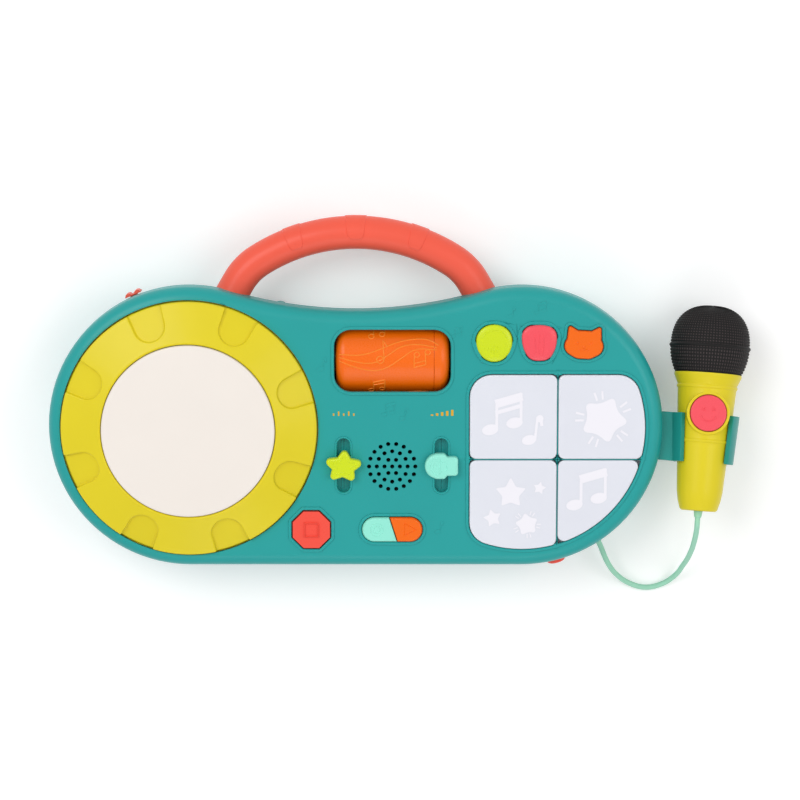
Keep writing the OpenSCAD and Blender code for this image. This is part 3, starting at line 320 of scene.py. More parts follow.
def pebbled(name, colour):
    """Dark plastic with a dull, dusty grain."""
    finish = Finish(name)
    dust = finish.noise(420, 4)
    return finish.surface(
        Base_Color=finish.mix(dust, shade(colour, 0.7), shade(colour, 1.5)),
        Roughness=0.5 + 0.2 * dust,
        Normal=finish.bump(dust, 0.25, 0.08 * MM),
        Specular_IOR_Level=0.25,
    )


def plated(name, colour, rough=0.28):
    """Bright metal with fine drawn lines."""
    finish = Finish(name)
    lines = finish.noise(600, 3, (1, 1, 0.08))
    return finish.surface(
        Base_Color=finish.mix(lines, shade(colour, 0.85), shade(colour, 1.1)),
        Metallic=1.0,
        Roughness=rough + 0.15 * lines,
        Normal=finish.bump(lines, 0.1, 0.03 * MM),
    )


def spongy(name, colour):
    """Foam or rubber with open pores."""
    finish = Finish(name)
    pores = finish.grains(700)
    return finish.surface(
        Base_Color=finish.mix(pores, shade(colour, 0.7), shade(colour, 1.25)),
        Roughness=0.85,
        Normal=finish.bump(pores, 0.5, 0.3 * MM),
    )


def printed_board(name, colour):
    """Circuit board: lacquer over paler copper runs."""
    finish = Finish(name)
    runs = finish.noise(160, 0, (1, 0.15, 1)).over(0.53)
    return finish.surface(
        Base_Color=finish.mix(runs, colour, shade(colour, 1.5)),
        Roughness=0.4 - 0.08 * runs,
        Normal=finish.bump(runs, 0.3, 0.05 * MM),
        Coat_Weight=0.3,
    )


def white_floor(name, colour):
    """Pale floor that keeps the shadow and shows white to the camera."""
    finish = Finish(name)
    mottle = finish.noise(3, 2)
    lift = 0.2
    return finish.surface(
        Base_Color=finish.mix(mottle, shade(colour, 0.995), colour),
        Roughness=0.9,
        Specular_IOR_Level=0.0,
        Emission_Color=finish.mix(finish.seen(), (0, 0, 0), (lift, lift, lift)),
        Emission_Strength=1.0,
    )


def gloss(name, colour):
    return moulded(name, colour, 0.28, 0.1, 0.03)


def satin(name, colour):
    return moulded(name, colour, 0.46, 0.03, 0.02)


def flat_ink(name, colour):
    return moulded(name, colour, 0.5, 0.0, 0.02)


FINISHES = {
    moulded: ("teal", "deep_teal", "coral", "yellow"),
    gloss: ("orange", "pale_orange", "lime", "pink", "red", "mint"),
    satin: ("cream", "switch"),
    flat_ink: ("print_white", "label"),
    milky: ("milk", "lamp"),
    sheathed: ("cord",),
    pebbled: ("dark", "grain", "cone", "magnet"),
    plated: ("steel", "brass", "cell"),
    spongy: ("foam", "rubber"),
    printed_board: ("board",),
    white_floor: ("floor",),
}
FINISH_OF = {slot: finish for finish, slots in FINISHES.items() for slot in slots}


def material_of(slot):
    """The material of a slot, made the first time that it is asked for."""
    name = f"player_{slot}"
    found = bpy.data.materials.get(name)
    return found or FINISH_OF[slot](name, tuple(getattr(bpy.context.scene.player_colours, slot)))


# Modelling


def clear_selection():
    if bpy.context.mode != "OBJECT":
        bpy.ops.object.mode_set(mode="OBJECT")
    bpy.ops.object.select_all(action="DESELECT")


def take(piece):
    clear_selection()
    piece.select_set(True)
    bpy.context.view_layer.objects.active = piece


def edit(piece, kind="FACE"):
    """Opens a piece in edit mode with everything selected."""
    take(piece)
    bpy.ops.object.mode_set(mode="EDIT")
    bpy.ops.mesh.select_mode(type=kind)
    bpy.ops.mesh.select_all(action="SELECT")


def leave_edit():
    bpy.ops.object.mode_set(mode="OBJECT")


def pick(piece, kind, test):
    """Selects the vertices, edges or faces that pass a test, in edit mode."""
    bpy.ops.mesh.select_mode(type=kind)
    bpy.ops.mesh.select_all(action="DESELECT")
    mesh = bmesh.from_edit_mesh(piece.data)
    for item in {"VERT": mesh.verts, "EDGE": mesh.edges, "FACE": mesh.faces}[kind]:
        if test(item):
            item.select_set(True)
    mesh.select_flush_mode()
    bmesh.update_edit_mesh(piece.data)


def modify(piece, kind, **settings):
    """Adds a modifier and applies it."""
    take(piece)
    bpy.ops.object.modifier_add(type=kind)
    modifier = piece.modifiers[-1]
    for key, value in settings.items():
        setattr(modifier, key, value)
    bpy.ops.object.modifier_apply(modifier=modifier.name)


def round_edges(piece, width, angle=35):
    modify(
        piece,
        "BEVEL",
        width=width,
        segments=2,
        limit_method="ANGLE",
        angle_limit=math.radians(angle),
        use_clamp_overlap=False,
        miter_outer="MITER_ARC",
    )


def round_picked(piece, test, width, segments=3, angle=35):
    """Rounds the sharp edges whose middle, in millimetres, passes a test."""
    sharp = math.radians(angle)
    edit(piece, "EDGE")
    pick(
        piece,
        "EDGE",
        lambda e: e.calc_face_angle(0) > sharp and test((e.verts[0].co + e.verts[1].co) / 2 / MM),
    )
    bpy.ops.mesh.bevel(offset=width, segments=segments, clamp_overlap=False)
    leave_edit()


def smooth(piece, angle=40):
    take(piece)
    bpy.ops.object.shade_smooth_by_angle(angle=math.radians(angle))
    modify(piece, "WEIGHTED_NORMAL", keep_sharp=True)


def apply_place(piece):
    """Moves a piece's place, turn and scale into its mesh."""
    take(piece)
    bpy.ops.object.transform_apply(location=True, rotation=True, scale=True)


def copy_of(node, level_only=False):
    """A merged copy of a node's mesh, with its flat faces, or only its level ones, made whole."""
    clear_selection()
    piece = bpy.data.objects.new(f"{node}_form", frame["nodes"][node].data.copy())
    bpy.context.collection.objects.link(piece)
    take(piece)
    bpy.ops.mesh.customdata_custom_splitnormals_clear()
    edit(piece)
    bpy.ops.mesh.remove_doubles(threshold=(0.01 if level_only else 0.004) * MM)
    if level_only:
        pick(piece, "FACE", lambda f: abs(f.normal.z) > 0.99999)
    bpy.ops.mesh.dissolve_limited(angle_limit=math.radians(1))
    leave_edit()
    return piece


def settle(piece, body, slot, *nodes, ink=None):
    """Gives a finished piece its material, its body and the nodes that it stands for."""
    piece.data.materials.clear()
    piece.data.materials.append(material_of(ink or slot))
    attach(piece, body)
    if nodes:
        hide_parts(*nodes)
    return piece


def stand_in(piece, node, angle=40, ink=None):
    """Smooths a finished piece and lets it stand for a node."""
    smooth(piece, angle)
    return settle(piece, BODY_OF[node], SLOT_OF[node], node, ink=ink)


def soften(node, width):
    """Stands a copy with rounded edges in for a node."""
    piece = copy_of(node)
    round_edges(piece, width)
    return stand_in(piece, node)


def paint(*nodes):
    """Gives nodes that stay as they are their materials."""
    for node in nodes:
        materials = frame["nodes"][node].data.materials
        materials.clear()
        materials.append(material_of(SLOT_OF[node]))


def inset_steps(steps):
    """Insets the selected top again and again; each step is a width and a rise in metres."""
    for width, rise in steps:
        bpy.ops.mesh.inset(thickness=width, depth=rise, use_even_offset=True)


def quarter_round(radius, steps=5):
    """Inset steps that round a top edge by a quarter circle."""
    turns = [math.pi / 2 * i / steps for i in range(steps + 1)]
    return [
        (radius * (math.cos(a) - math.cos(b)), radius * (math.sin(b) - math.sin(a)))
        for a, b in zip(turns, turns[1:])
    ]


def round_top(node, radius, top, crown=()):
    """Stands a copy in for a node, its top cut off, rounded and given a crown, in metres."""
    piece = copy_of(node)
    if node in SWELLS:
        swell(piece, node)
    edit(piece)
    level = top - radius - sum(step[1] for step in crown)
    cut = level - 0.005 * MM
    bpy.ops.mesh.bisect(plane_co=(0, 0, level), plane_no=(0, 0, 1), use_fill=True, clear_outer=True)
    pick(piece, "VERT", lambda v: v.co.z > cut)
    bpy.ops.mesh.remove_doubles(threshold=0.12 * MM)
    pick(piece, "FACE", lambda f: f.normal.z > 0.99 and f.calc_center_median().z > cut)
    bpy.ops.mesh.dissolve_faces()
    inset_steps(quarter_round(radius))
    inset_steps(crown)
    leave_edit()
    return stand_in(piece, node, 50)


class Swell:
    """Rounds a button's outline towards an ellipse, alike on the button and on the lip round it."""

    PAST = 3.2
    FAR = 20
    LONG = 2.0
    CUTS = 5

    def __init__(self, node, share, width, height):
        self.centre = middle(node).xy
        self.share = share
        self.half = (width / 2, height / 2)
        corners = [
            vertex.co.xy / MM - self.centre
            for vertex in frame["nodes"][node].data.vertices
            if vertex.co.z / MM > FACE_Z - 0.5
        ]
        rim = [corners[i] for i in geometry.convex_hull_2d(corners)]
        self.sides = [(Vector((b.y - a.y, a.x - b.x)), a) for a, b in zip(rim, rim[1:] + rim[:1])]

    def reach(self, way):
        """Distance from the centre to the outline in a direction."""
        return min(out.dot(a) / out.dot(way) for out, a in self.sides if out.dot(way) > 1e-6)

    def moved(self, place):
        """Where a place near the button goes, in millimetres."""
        if not -self.half[0] < self.past(place) < self.PAST:
            return place
        arm = place - self.centre
        way = arm.normalized()
        rim = self.reach(way)
        target = 1 / math.hypot(way.x / self.half[0], way.y / self.half[1])
        inside = min(1.0, arm.length / rim) ** 2
        return place + inside * self.share * (target - rim) * way

    def past(self, place):
        """How far a place lies outside the outline, roughly where that is far."""
        arm = place - self.centre
        if arm.length < 0.01:
            return -self.half[0]
        return arm.length if arm.length > self.FAR else arm.length - self.reach(arm.normalized())

    def cut(self, piece):
        edit(piece, "EDGE")
        pick(piece, "EDGE", self.is_long)
        bpy.ops.mesh.subdivide(number_cuts=self.CUTS)
        leave_edit()

    def is_long(self, edge):
        """True for a long level edge that runs along the outline and so has to bend."""
        first, second = (vertex.co / MM for vertex in edge.verts)
        if abs(first.z - second.z) > 0.01 or (first - second).length < self.LONG:
            return False
        out = self.past(first.xy)
        return out < self.PAST and abs(out - self.past(second.xy)) < 0.3


SWELLS = {"lime_button": (0.85, 22.6, 23.2), "pink_button": (0.5, 23.2, 22.6)}


def swell(piece, *nodes):
    """Rounds the outlines of buttons on a copy of one of them or of the shell."""
    swells = [Swell(node, *SWELLS[node]) for node in nodes]
    for item in swells:
        item.cut(piece)
    for vertex in piece.data.vertices:
        place = vertex.co.xy / MM
        nearest = min(swells, key=lambda item: item.past(place))
        vertex.co.xy = nearest.moved(place) * MM
    piece.data.update()


def bezier(name, points, steps, closed=False, handles="AUTO"):
    """A curve through points in millimetres."""
    clear_selection()
    line = bpy.data.curves.new(name, "CURVE")
    line.dimensions = "3D"
    line.resolution_u = steps
    spline = line.splines.new("BEZIER")
    spline.bezier_points.add(len(points) - 1)
    spline.use_cyclic_u = closed
    for knot, point in zip(spline.bezier_points, points):
        knot.co = [v * MM for v in point]
        knot.handle_left_type = knot.handle_right_type = handles
    return line


def thicken(line, radius, sides):
    line.bevel_depth = radius
    line.bevel_resolution = sides
    line.use_fill_caps = True


def meshed(line, name):
    """A piece with the mesh of a curve."""
    piece = bpy.data.objects.new(name, line)
    bpy.context.collection.objects.link(piece)
    take(piece)
    bpy.ops.object.convert(target="MESH")
    return bpy.context.object


class Marks:
    """Small raised shapes on a level, in millimetres, gathered into one piece."""

    def __init__(self, name, low, high):
        self.name = name
        self.low = low
        self.high = high
        self.parts = []

    def solid(self, kind, x, y, width, height, turn=0.0, lift=0.0, **shape):
        """Adds a primitive of that width and height, a little higher than its neighbours if asked."""
        clear_selection()
        depth = self.high + lift - self.low
        getattr(bpy.ops.mesh, f"primitive_{kind}_add")(
            location=(x * MM, y * MM, (self.low + depth / 2) * MM),
            rotation=(0, 0, math.radians(turn)),
            **shape,
        )
        piece = bpy.context.object
        piece.scale = (width * MM, height * MM, depth * MM)
        apply_place(piece)
        self.parts.append(piece)
        return piece

    def disc(self, x, y, width, height=None, turn=0.0, lift=0.0):
        return self.prism(x, y, width, height or width, 40, turn, lift)

    def prism(self, x, y, width, height, sides, turn, lift=0.0):
        shape = {"vertices": sides, "radius": 0.5, "depth": 1}
        return self.solid("cylinder", x, y, width, height, turn, lift, **shape)

    def bar(self, start, end, width, lift=0.0):
        """A straight bar with square ends."""
        way = Vector(end) - Vector(start)
        x, y = (Vector(start) + Vector(end)) / 2
        turn = math.degrees(math.atan2(way.y, way.x))
        return self.solid("cube", x, y, way.length, width, turn, lift, size=1)

    def star(self, x, y, radius, points=5, waist=0.5, turn=0.0, tip=0.12):
        """A star with rounded tips; its waist is a share of its radius."""
        piece = self.prism(x, y, 2 * radius, 2 * radius, 2 * points, turn)
        centre = Vector((x * MM, y * MM))
        edit(piece, "VERT")
        pick(piece, "VERT", lambda v: star_step(v.co.xy - centre, points, turn) % 2 == 1)
        bpy.ops.transform.resize(value=(waist, waist, 1))
        pick(piece, "EDGE", lambda e: (e.verts[0].co - e.verts[1].co).xy.length < 0.001 * MM)
        bpy.ops.mesh.bevel(offset=tip * radius * MM, segments=4)
        leave_edit()
        return piece

    def bead(self, points, width, closed=False, sharp=False, sink=0.0):
        """A round bead along points, partly sunk in the surface."""
        level = self.high - sink
        handles = "VECTOR" if sharp else "AUTO"
        line = bezier("bead", [(x, y, level) for x, y in points], 8, closed, handles)
        thicken(line, width / 2 * MM, 3)
        self.parts.append(meshed(line, "bead"))

    def ring(self, x, y, radius, width, sink=0.0):
        self.bead(arc(x, y, radius, 0, 30, 12), width, True, sink=sink)

    def double_note(self, x, y, size, beams=1, turn=0.0):
        """Two note heads on stems under a slanting beam; size is the height."""
        at = drawing(x, y, turn, size)
        for u, v in ((-0.28, -0.38), (0.28, -0.22)):
            self.disc(*at(u, v), 0.38 * size, 0.25 * size, turn + 12)
        for u, v in ((-0.13, -0.38), (0.43, -0.22)):
            self.bar(at(u, v), at(u, v + 0.7), 0.065 * size, 0.01)
        for i in range(beams):
            drop = 0.21 * i
            width = 0.2 if i == 0 else 0.09
            self.bar(at(-0.16, 0.22 - drop), at(0.46, 0.4 - drop), width * size, 0.02)

    def single_note(self, x, y, size, lean=6):
        """A note head on a leaning stem with a flag."""
        at = drawing(x, y, -lean, size)
        self.disc(*at(-0.15, -0.36), 0.46 * size, 0.32 * size, 14)
        self.bar(at(0.04, -0.36), at(0.04, 0.42), 0.08 * size, 0.01)
        self.disc(*at(0.12, 0.37), 0.24 * size, 0.24 * size, 0, 0.02)
        self.bar(at(0.16, 0.38), at(0.21, 0.14), 0.1 * size, 0.03)

    def gather(self, body, slot, edge=0.0, ink=None):
        """Joins the marks, rounds their edges and lets them ride on a body."""
        clear_selection()
        for part in self.parts:
            part.select_set(True)
        bpy.context.view_layer.objects.active = self.parts[0]
        if len(self.parts) > 1:
            bpy.ops.object.join()
        piece = bpy.context.object
        piece.name = self.name
        apply_place(piece)
        if edge:
            round_edges(piece, edge * MM, 50)
        smooth(piece)
        return settle(piece, body, slot, ink=ink)


def drawing(x, y, turn, size=1.0):
    """A function that places a point of a small drawing, which is turned and scaled about its middle."""
    spin = Matrix.Rotation(math.radians(turn), 2)
    return lambda u, v: Vector((x, y)) + spin @ Vector((u, v)) * size


def arc(x, y, radius, start, step, count, squash=1.0):
    """Points round a middle, from a start angle in steps of so many degrees."""
    turns = [math.radians(start + step * i) for i in range(count)]
    return [(x + radius * math.cos(a), y + squash * radius * math.sin(a)) for a in turns]


def stepped(corners, step=1.0):
    """The corners of a line, in millimetres, with points between them no more than a step apart."""
    line = [Vector(corners[0])]
    for start, end in zip(corners, corners[1:]):
        start = Vector(start)
        way = Vector(end) - start
        count = math.ceil(way.length / step)
        line += [start + way * i / count for i in range(1, count + 1)]
    return line


def star_step(way, points, turn):
    """Which corner of a star a direction points at, counted from its first tip."""
    angle = math.atan2(way.y, way.x) - math.radians(90 + turn)
    return round(angle / (math.pi / points))


# Operators


class PieceOperator:
    """What every operator of the player shares."""

    bl_options = {"REGISTER", "UNDO"}

    def execute(self, context):
        self.build(context.scene.player_sizes)
        clear_selection()
        return {"FINISHED"}


class PLAYER_OT_stage(PieceOperator, bpy.types.Operator):
    """Builds the floor, the lights, the world and the camera."""

    bl_idname = "player.stage"
    bl_label = "Stage"

    AIM = Vector((27.3, 14.8, 42)) * MM
    TILT = math.radians(9.3)
    DISTANCE = 1.9
    LENS = 137.9
    FLOOR_SIZE = 16
    WORLD_LIGHT = 0.56
    SOFTBOXES = (
        ((-0.9, 0.9, 1.9), 1.3, 16),
        ((1.2, 0.3, 1.7), 1.2, 7),
        ((0.1, -1.3, 1.5), 1.0, 3.5),
    )

    def build(self, sizes):
        clear_selection()
        bpy.ops.mesh.primitive_plane_add(size=self.FLOOR_SIZE)
        floor = bpy.context.object
        floor.name = "floor"
        floor.data.materials.append(material_of("floor"))
        for place, size, power in self.SOFTBOXES:
            self.softbox(Vector(place), size, power)
        self.light_world()
        place = self.AIM + self.DISTANCE * Vector((0, math.sin(self.TILT), math.cos(self.TILT)))
        bpy.ops.object.camera_add(location=place, rotation=(-self.TILT, 0, 0))
        camera = bpy.context.object
        camera.data.lens = self.LENS
        camera.data.sensor_width = 36
        camera.data.clip_end = 100
        scene = bpy.context.scene
        scene.camera = camera
        scene.view_settings.view_transform = "Standard"

    def softbox(self, place, size, power):
        turn = (self.AIM - place).to_track_quat("-Z", "Y").to_euler()
        bpy.ops.object.light_add(type="AREA", location=place, rotation=turn)
        lamp = bpy.context.object.data
        lamp.shape = "DISK"
        lamp.size = size
        lamp.energy = power

    def light_world(self):
        """Even light for the object, and white wherever the camera or a gloss sees past it."""
        scene = bpy.context.scene
        world = scene.world or bpy.data.worlds.new("studio")
        scene.world = world
        sky = Nodes(world)
        levels = {"Value": sky.seen(), "To Min": self.WORLD_LIGHT, "To Max": 1.0}
        strength = sky.wire(sky.node("ShaderNodeMapRange", None, levels))
        light = sky.node("ShaderNodeBackground", None, {"Color": (1, 1, 1), "Strength": strength})
        sky.node("ShaderNodeOutputWorld", None, {"Surface": sky.wire(light)})


class PLAYER_OT_cord(PieceOperator, bpy.types.Operator):
    """Lays the microphone's cord from its gland to its collar."""

    bl_idname = "player.cord"
    bl_label = "Cord"

    LOBE_X = 102.5
    GLAND_OUT = 88.5
    GLAND_TURN = math.radians(-57.7)
    GLAND_Z = 16
    TAIL = Vector((212.4, -53.6, 50.7))
    COLLAR = 4
    STRAIGHT = 4
    MIDDLE = (
        (160, -96, 13),
        (166, -104, 8),
        (174, -110, 4),
        (184, -113, 2.2),
        (194, -111, 2.4),
        (202, -105, 6),
        (206.7, -96, 15),
        (209.7, -86, 28),
        (211.2, -75, 41),
        (211.8, -66, 49),
    )

    def route(self):
        out = Vector((math.cos(self.GLAND_TURN), math.sin(self.GLAND_TURN), 0))
        way = Vector(JOINTS["mic_slide"]["axis"]).normalized()
        gland = Vector((self.LOBE_X, 0, self.GLAND_Z)) + self.GLAND_OUT * out
        collar = self.TAIL - self.COLLAR * way
        points = [gland, gland + self.STRAIGHT * out]
        points += [Vector(point) for point in self.MIDDLE]
        return points + [collar - self.STRAIGHT * way, collar]

    def build(self, sizes):
        line = bezier("cord", self.route(), 10)
        centre = meshed(line.copy(), "cord_line")
        bpy.data.objects.remove(centre)
        thicken(line, sizes.cord_diameter / 2, 5)
        cord = meshed(line, "mic_cord_sheath")
        smooth(cord, 60)
        cord.data.materials.append(material_of("cord"))
        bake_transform(cord)
        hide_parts("mic_cord")


class PLAYER_OT_case(PieceOperator, bpy.types.Operator):
    """Rounds the lips on the face, the door, the feet and the pieces on the rim."""

    bl_idname = "player.case"
    bl_label = "Case"

    RIM = 87
    TAB_SHARE = 0.55

    def shell(self, node, soft, width):
        """Stands a copy in for a shell, with the picked edges rounded and hairline seams closed."""
        piece = copy_of(node, True)
        if node == "front_shell":
            swell(piece, *SWELLS)
        edit(piece)
        pick(piece, "FACE", self.in_seam)
        bpy.ops.mesh.delete(type="FACE")
        leave_edit()
        round_picked(piece, soft, width)
        stand_in(piece, node)

    def in_seam(self, face):
        """True for a wall that runs no deeper than a hairline seam of the face."""
        heights = [vertex.co.z / MM for vertex in face.verts]
        return abs(face.normal.z) < 0.02 and FACE_Z - 0.6 < min(heights) < max(heights) < FACE_Z + 0.01

    def build(self, sizes):
        self.shell("front_shell", lambda p: p.z > FACE_Z + LIP_H - 0.01, sizes.lip_edge)
        self.shell("rear_shell", lambda p: False, sizes.lip_edge)
        for node in ("battery_door", "cord_gland", "mic_clip", "mode_button", "feet"):
            soften(node, sizes.small_edge)
        self.press_in(soften("power_switch", sizes.small_edge))

    def press_in(self, tab):
        """Flattens what stands out of the rim of the left lobe."""
        centre = Vector((-PLAYER_OT_cord.LOBE_X, 0)) * MM
        rim = self.RIM * MM
        for vertex in tab.data.vertices:
            arm = vertex.co.xy - centre
            if arm.length > rim:
                vertex.co.xy = centre + arm.normalized() * (rim + self.TAB_SHARE * (arm.length - rim))
        tab.data.update()


class PLAYER_OT_handle(PieceOperator, bpy.types.Operator):
    """Spins the grip of the handle and raises its three thumb pads."""

    bl_idname = "player.handle"
    bl_label = "Handle"

    HALF_WIDTH = 77.5
    RISE = 49.6
    SHOULDER = 38
    Y = 69
    Z = 36
    LEG_TURN = 30
    LEG = 21
    SIDES = 56
    THUMB_STEP = 19.5
    THUMB_HALF = 3.1
    THUMB_ROWS = 7
    GRIP_STEP = THUMB_HALF / 3

    def build(self, sizes):
        half = self.HALF_WIDTH - self.SHOULDER
        crown = (half**2 + self.RISE**2 - self.SHOULDER**2) / (2 * (self.RISE - self.SHOULDER))
        shoulder_turn = math.degrees(math.atan2(crown - self.RISE, half))
        leg_turn = math.radians(self.LEG_TURN)
        way = Vector((-math.sin(leg_turn), math.cos(leg_turn), 0))
        centre = Vector((half, self.Y, self.Z))
        top = centre + self.SHOULDER * Vector((math.cos(leg_turn), math.sin(leg_turn), 0))
        clear_selection()
        bpy.ops.mesh.primitive_circle_add(
            vertices=self.SIDES,
            radius=sizes.grip,
            location=(top - self.LEG * way) * MM,
            rotation=(-math.pi / 2, 0, leg_turn),
        )
        piece = bpy.context.object
        piece.name = "handle_grip"
        apply_place(piece)
        edit(piece, "EDGE")
        self.push(self.LEG * way)
        self.turn(centre, shoulder_turn - self.LEG_TURN, 3)
        crown_centre = Vector((0, self.Y + self.RISE - crown, self.Z))
        self.turn(crown_centre, 180 - 2 * shoulder_turn, self.GRIP_STEP)
        self.turn(Vector((-half, self.Y, self.Z)), shoulder_turn - self.LEG_TURN, 3)
        self.push(self.LEG * Vector((way.x, -way.y, 0)))
        bpy.ops.mesh.select_all(action="SELECT")
        bpy.ops.mesh.remove_doubles(threshold=0.001 * MM)
        bpy.ops.mesh.fill_holes(sides=0)
        bpy.ops.mesh.select_all(action="SELECT")
        bpy.ops.mesh.normals_make_consistent(inside=False)
        for i in (-1, 0, 1):
            self.thumb_pad(piece, crown_centre, 90 + i * self.THUMB_STEP, crown, sizes)
        leave_edit()
        stand_in(piece, "handle", 35)

    def push(self, way):
        bpy.ops.mesh.extrude_region_move(TRANSFORM_OT_translate={"value": way * MM})

    def turn(self, centre, angle, step):
        bpy.ops.mesh.spin(
            steps=max(2, round(angle / step)),
            angle=-math.radians(angle),
            center=centre * MM,
            axis=(0, 0, 1),
        )

    def thumb_pad(self, piece, centre, turn, crown, sizes):
        """Draws a U on the outer side of the grip and raises it."""
        reach = math.radians(self.THUMB_HALF + 0.2)

        def place(point):
            """Angle from the pad's middle line, and angle round the grip from its outer side."""
            flat = (point / MM - centre).xy
            off = math.atan2(flat.y, flat.x) - math.radians(turn)
            side = math.atan2(point.z / MM - centre.z, flat.length - crown)
            return off, side

        low, high = math.radians(-75), math.radians(112)

        def inside(face):
            off, side = place(face.calc_center_median())
            return abs(off) < reach and low < side < high

        pick(piece, "FACE", inside)
        mesh = bmesh.from_edit_mesh(piece.data)
        for vertex in mesh.verts:
            if not vertex.select:
                continue
            off, side = place(vertex.co)
            drop = max(0.0, min(1.0, (side - low) / (high - low)))
            share = 1 - 0.25 * drop
            if drop > 0.86:
                share *= math.sqrt(max(0.0, 1 - ((drop - 0.86) / 0.14) ** 2)) * 0.72 + 0.28
            spin = Matrix.Rotation(off * (share - 1), 3, "Z")
            vertex.co = spin @ (vertex.co - centre * MM) + centre * MM
        bmesh.update_edit_mesh(piece.data)
        inset_steps([(0.12 * MM, 0.0), (0.35 * MM, sizes.thumb_rise), (0.3 * MM, 0.0)])


class PLAYER_OT_drum(PieceOperator, bpy.types.Operator):
    """Leans and rounds the turntable ring's scallops, and rounds the drum's pieces."""

    bl_idname = "player.drum"
    bl_label = "Drum and turntable"

    RUN_CLEAR = 2.5
    RIM_R = 78.7
    RIM_Z = 63.2
    SLOPE = 0.35
    SCALLOP_FROM = 59
    SCALLOP_TILT = 0.09
    SCALLOP_DEPTH = (1.6, 2.4)
    FLANGE = 2.5

    def build(self, sizes):
        self.ring(sizes)
        for node in ("drum_head", "drum_base", "drum_foam"):
            soften(node, sizes.small_edge)

    def ring(self, sizes):
        """Rounds the scallops a good deal, and the edges next to the drum only a little."""
        piece = copy_of("turntable_ring")
        low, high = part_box("drum_head")
        drum = (high.x - low.x) / 2 / MM + self.RUN_CLEAR
        centre = middle("drum_head")

        def outside(place):
            reach = math.hypot(place.x - centre.x, place.y - centre.y)
            return reach > drum and place.z > FACE_Z - self.FLANGE

        least, most = self.SCALLOP_DEPTH
        for vertex in piece.data.vertices:
            reach = (vertex.co.xy / MM - centre.xy).length
            depth = self.RIM_Z + (self.RIM_R - reach) * self.SLOPE - vertex.co.z / MM
            if least < depth < most and reach > self.SCALLOP_FROM:
                vertex.co.z -= (reach - self.SCALLOP_FROM) * self.SCALLOP_TILT * MM
        round_picked(piece, outside, sizes.ring_edge, 4, 28)
        half_way = middle("turntable_ring").z
        round_picked(piece, lambda p: not outside(p) and p.z > half_way, sizes.small_edge, 2)
        stand_in(piece, "turntable_ring")


class PLAYER_OT_roller(PieceOperator, bpy.types.Operator):
    """Rounds and lengthens the roller, and lays wavy staff lines and notes on it, inked a paler orange as a
    painted highlight on the raised lines.
    """

    bl_idname = "player.roller"
    bl_label = "Roller"

    STAVES = (
        ((-10, 46.1), (4.7, 46.1), (15.8, 49.7), (25.2, 53.5), (34, 55.6), (43.9, 55.6), (51, 52)),
        ((-10, 44.4), (-1.2, 42), (8.8, 40.8), (14.6, 42.3))
        + ((20.5, 46.1), (28.1, 50.9), (36.9, 52.4), (50, 50.5)),
        ((-10, 42.2), (-1.2, 38.7), (7.6, 36.4), (13.5, 36.2))
        + ((20.5, 38.7), (28.1, 43.8), (36.9, 49.1), (50, 49)),
    )
    LINE = 0.75
    REPEATS = 4
    LONGER = 1.6
    ARMS_OUT = 2.0

    def build(self, sizes):
        self.spread(soften("roller", sizes.small_edge), 0, 60, self.LONGER)
        self.spread(soften("roller_cap", sizes.small_edge), 0, 50, self.LONGER)
        cradle = copy_of("roller_cradle")
        self.spread(cradle, 0, 50, self.ARMS_OUT)
        stand_in(cradle, "roller_cradle", ink="orange")
        marks = Marks("roller_relief", -0.3, 0.28)
        centre = middle("roller_axle")
        low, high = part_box("roller")
        radius = (high.z - low.z) / 2 / MM
        for repeat in range(self.REPEATS):
            shift = 2 * math.pi * radius * repeat / self.REPEATS
            for stave in self.STAVES:
                marks.bead([(x, y - centre.y + shift) for x, y in stave], self.LINE, sink=0.35)
            self.outline_note(marks, 15.2, 42.9 - centre.y + shift)
            self.outline_pair(marks, 39.5, 44 - centre.y + shift, 180)
            self.outline_pair(marks, 14.5, 23.5 - centre.y + shift, 0)
        # The relief is inked a paler orange than the roller it is moulded on: a painted highlight on the raised
        # lines.
        piece = marks.gather("roller", "orange", ink="pale_orange")
        for vertex in piece.data.vertices:
            turn = vertex.co.y / MM / radius
            reach = radius * MM + vertex.co.z
            vertex.co.y = centre.y * MM + reach * math.sin(turn)
            vertex.co.z = centre.z * MM + reach * math.cos(turn)
        piece.data.update()

    def spread(self, piece, low, high, reach):
        """Pushes what lies left of one place and right of another outwards, in millimetres."""
        for vertex in piece.data.vertices:
            if vertex.co.x < low * MM:
                vertex.co.x -= reach * MM
            elif vertex.co.x > high * MM:
                vertex.co.x += reach * MM
        piece.data.update()

    def outline_note(self, marks, x, y):
        marks.ring(x, y, 2.2, self.LINE, 0.3)
        stem = stepped([(x + 2.4, y + 0.4), (x + 1.6, y + 12.2), (x + 4.4, y + 8)])
        marks.bead(stem, self.LINE, sharp=True, sink=0.3)

    def outline_pair(self, marks, x, y, turn):
        at = drawing(x, y, turn)
        frame_line = stepped([at(-3.2, -3.5), at(-3.6, 4), at(3.6, 6), at(3.4, -2)])
        beam = stepped([at(-3.5, 1.6), at(3.5, 3.4)])
        for line in (frame_line, beam):
            marks.bead(line, self.LINE, sharp=True, sink=0.3)
        marks.ring(*at(-4.8, -3.6), 1.6, self.LINE, 0.3)
        marks.ring(*at(1.8, -2.1), 1.6, self.LINE, 0.3)


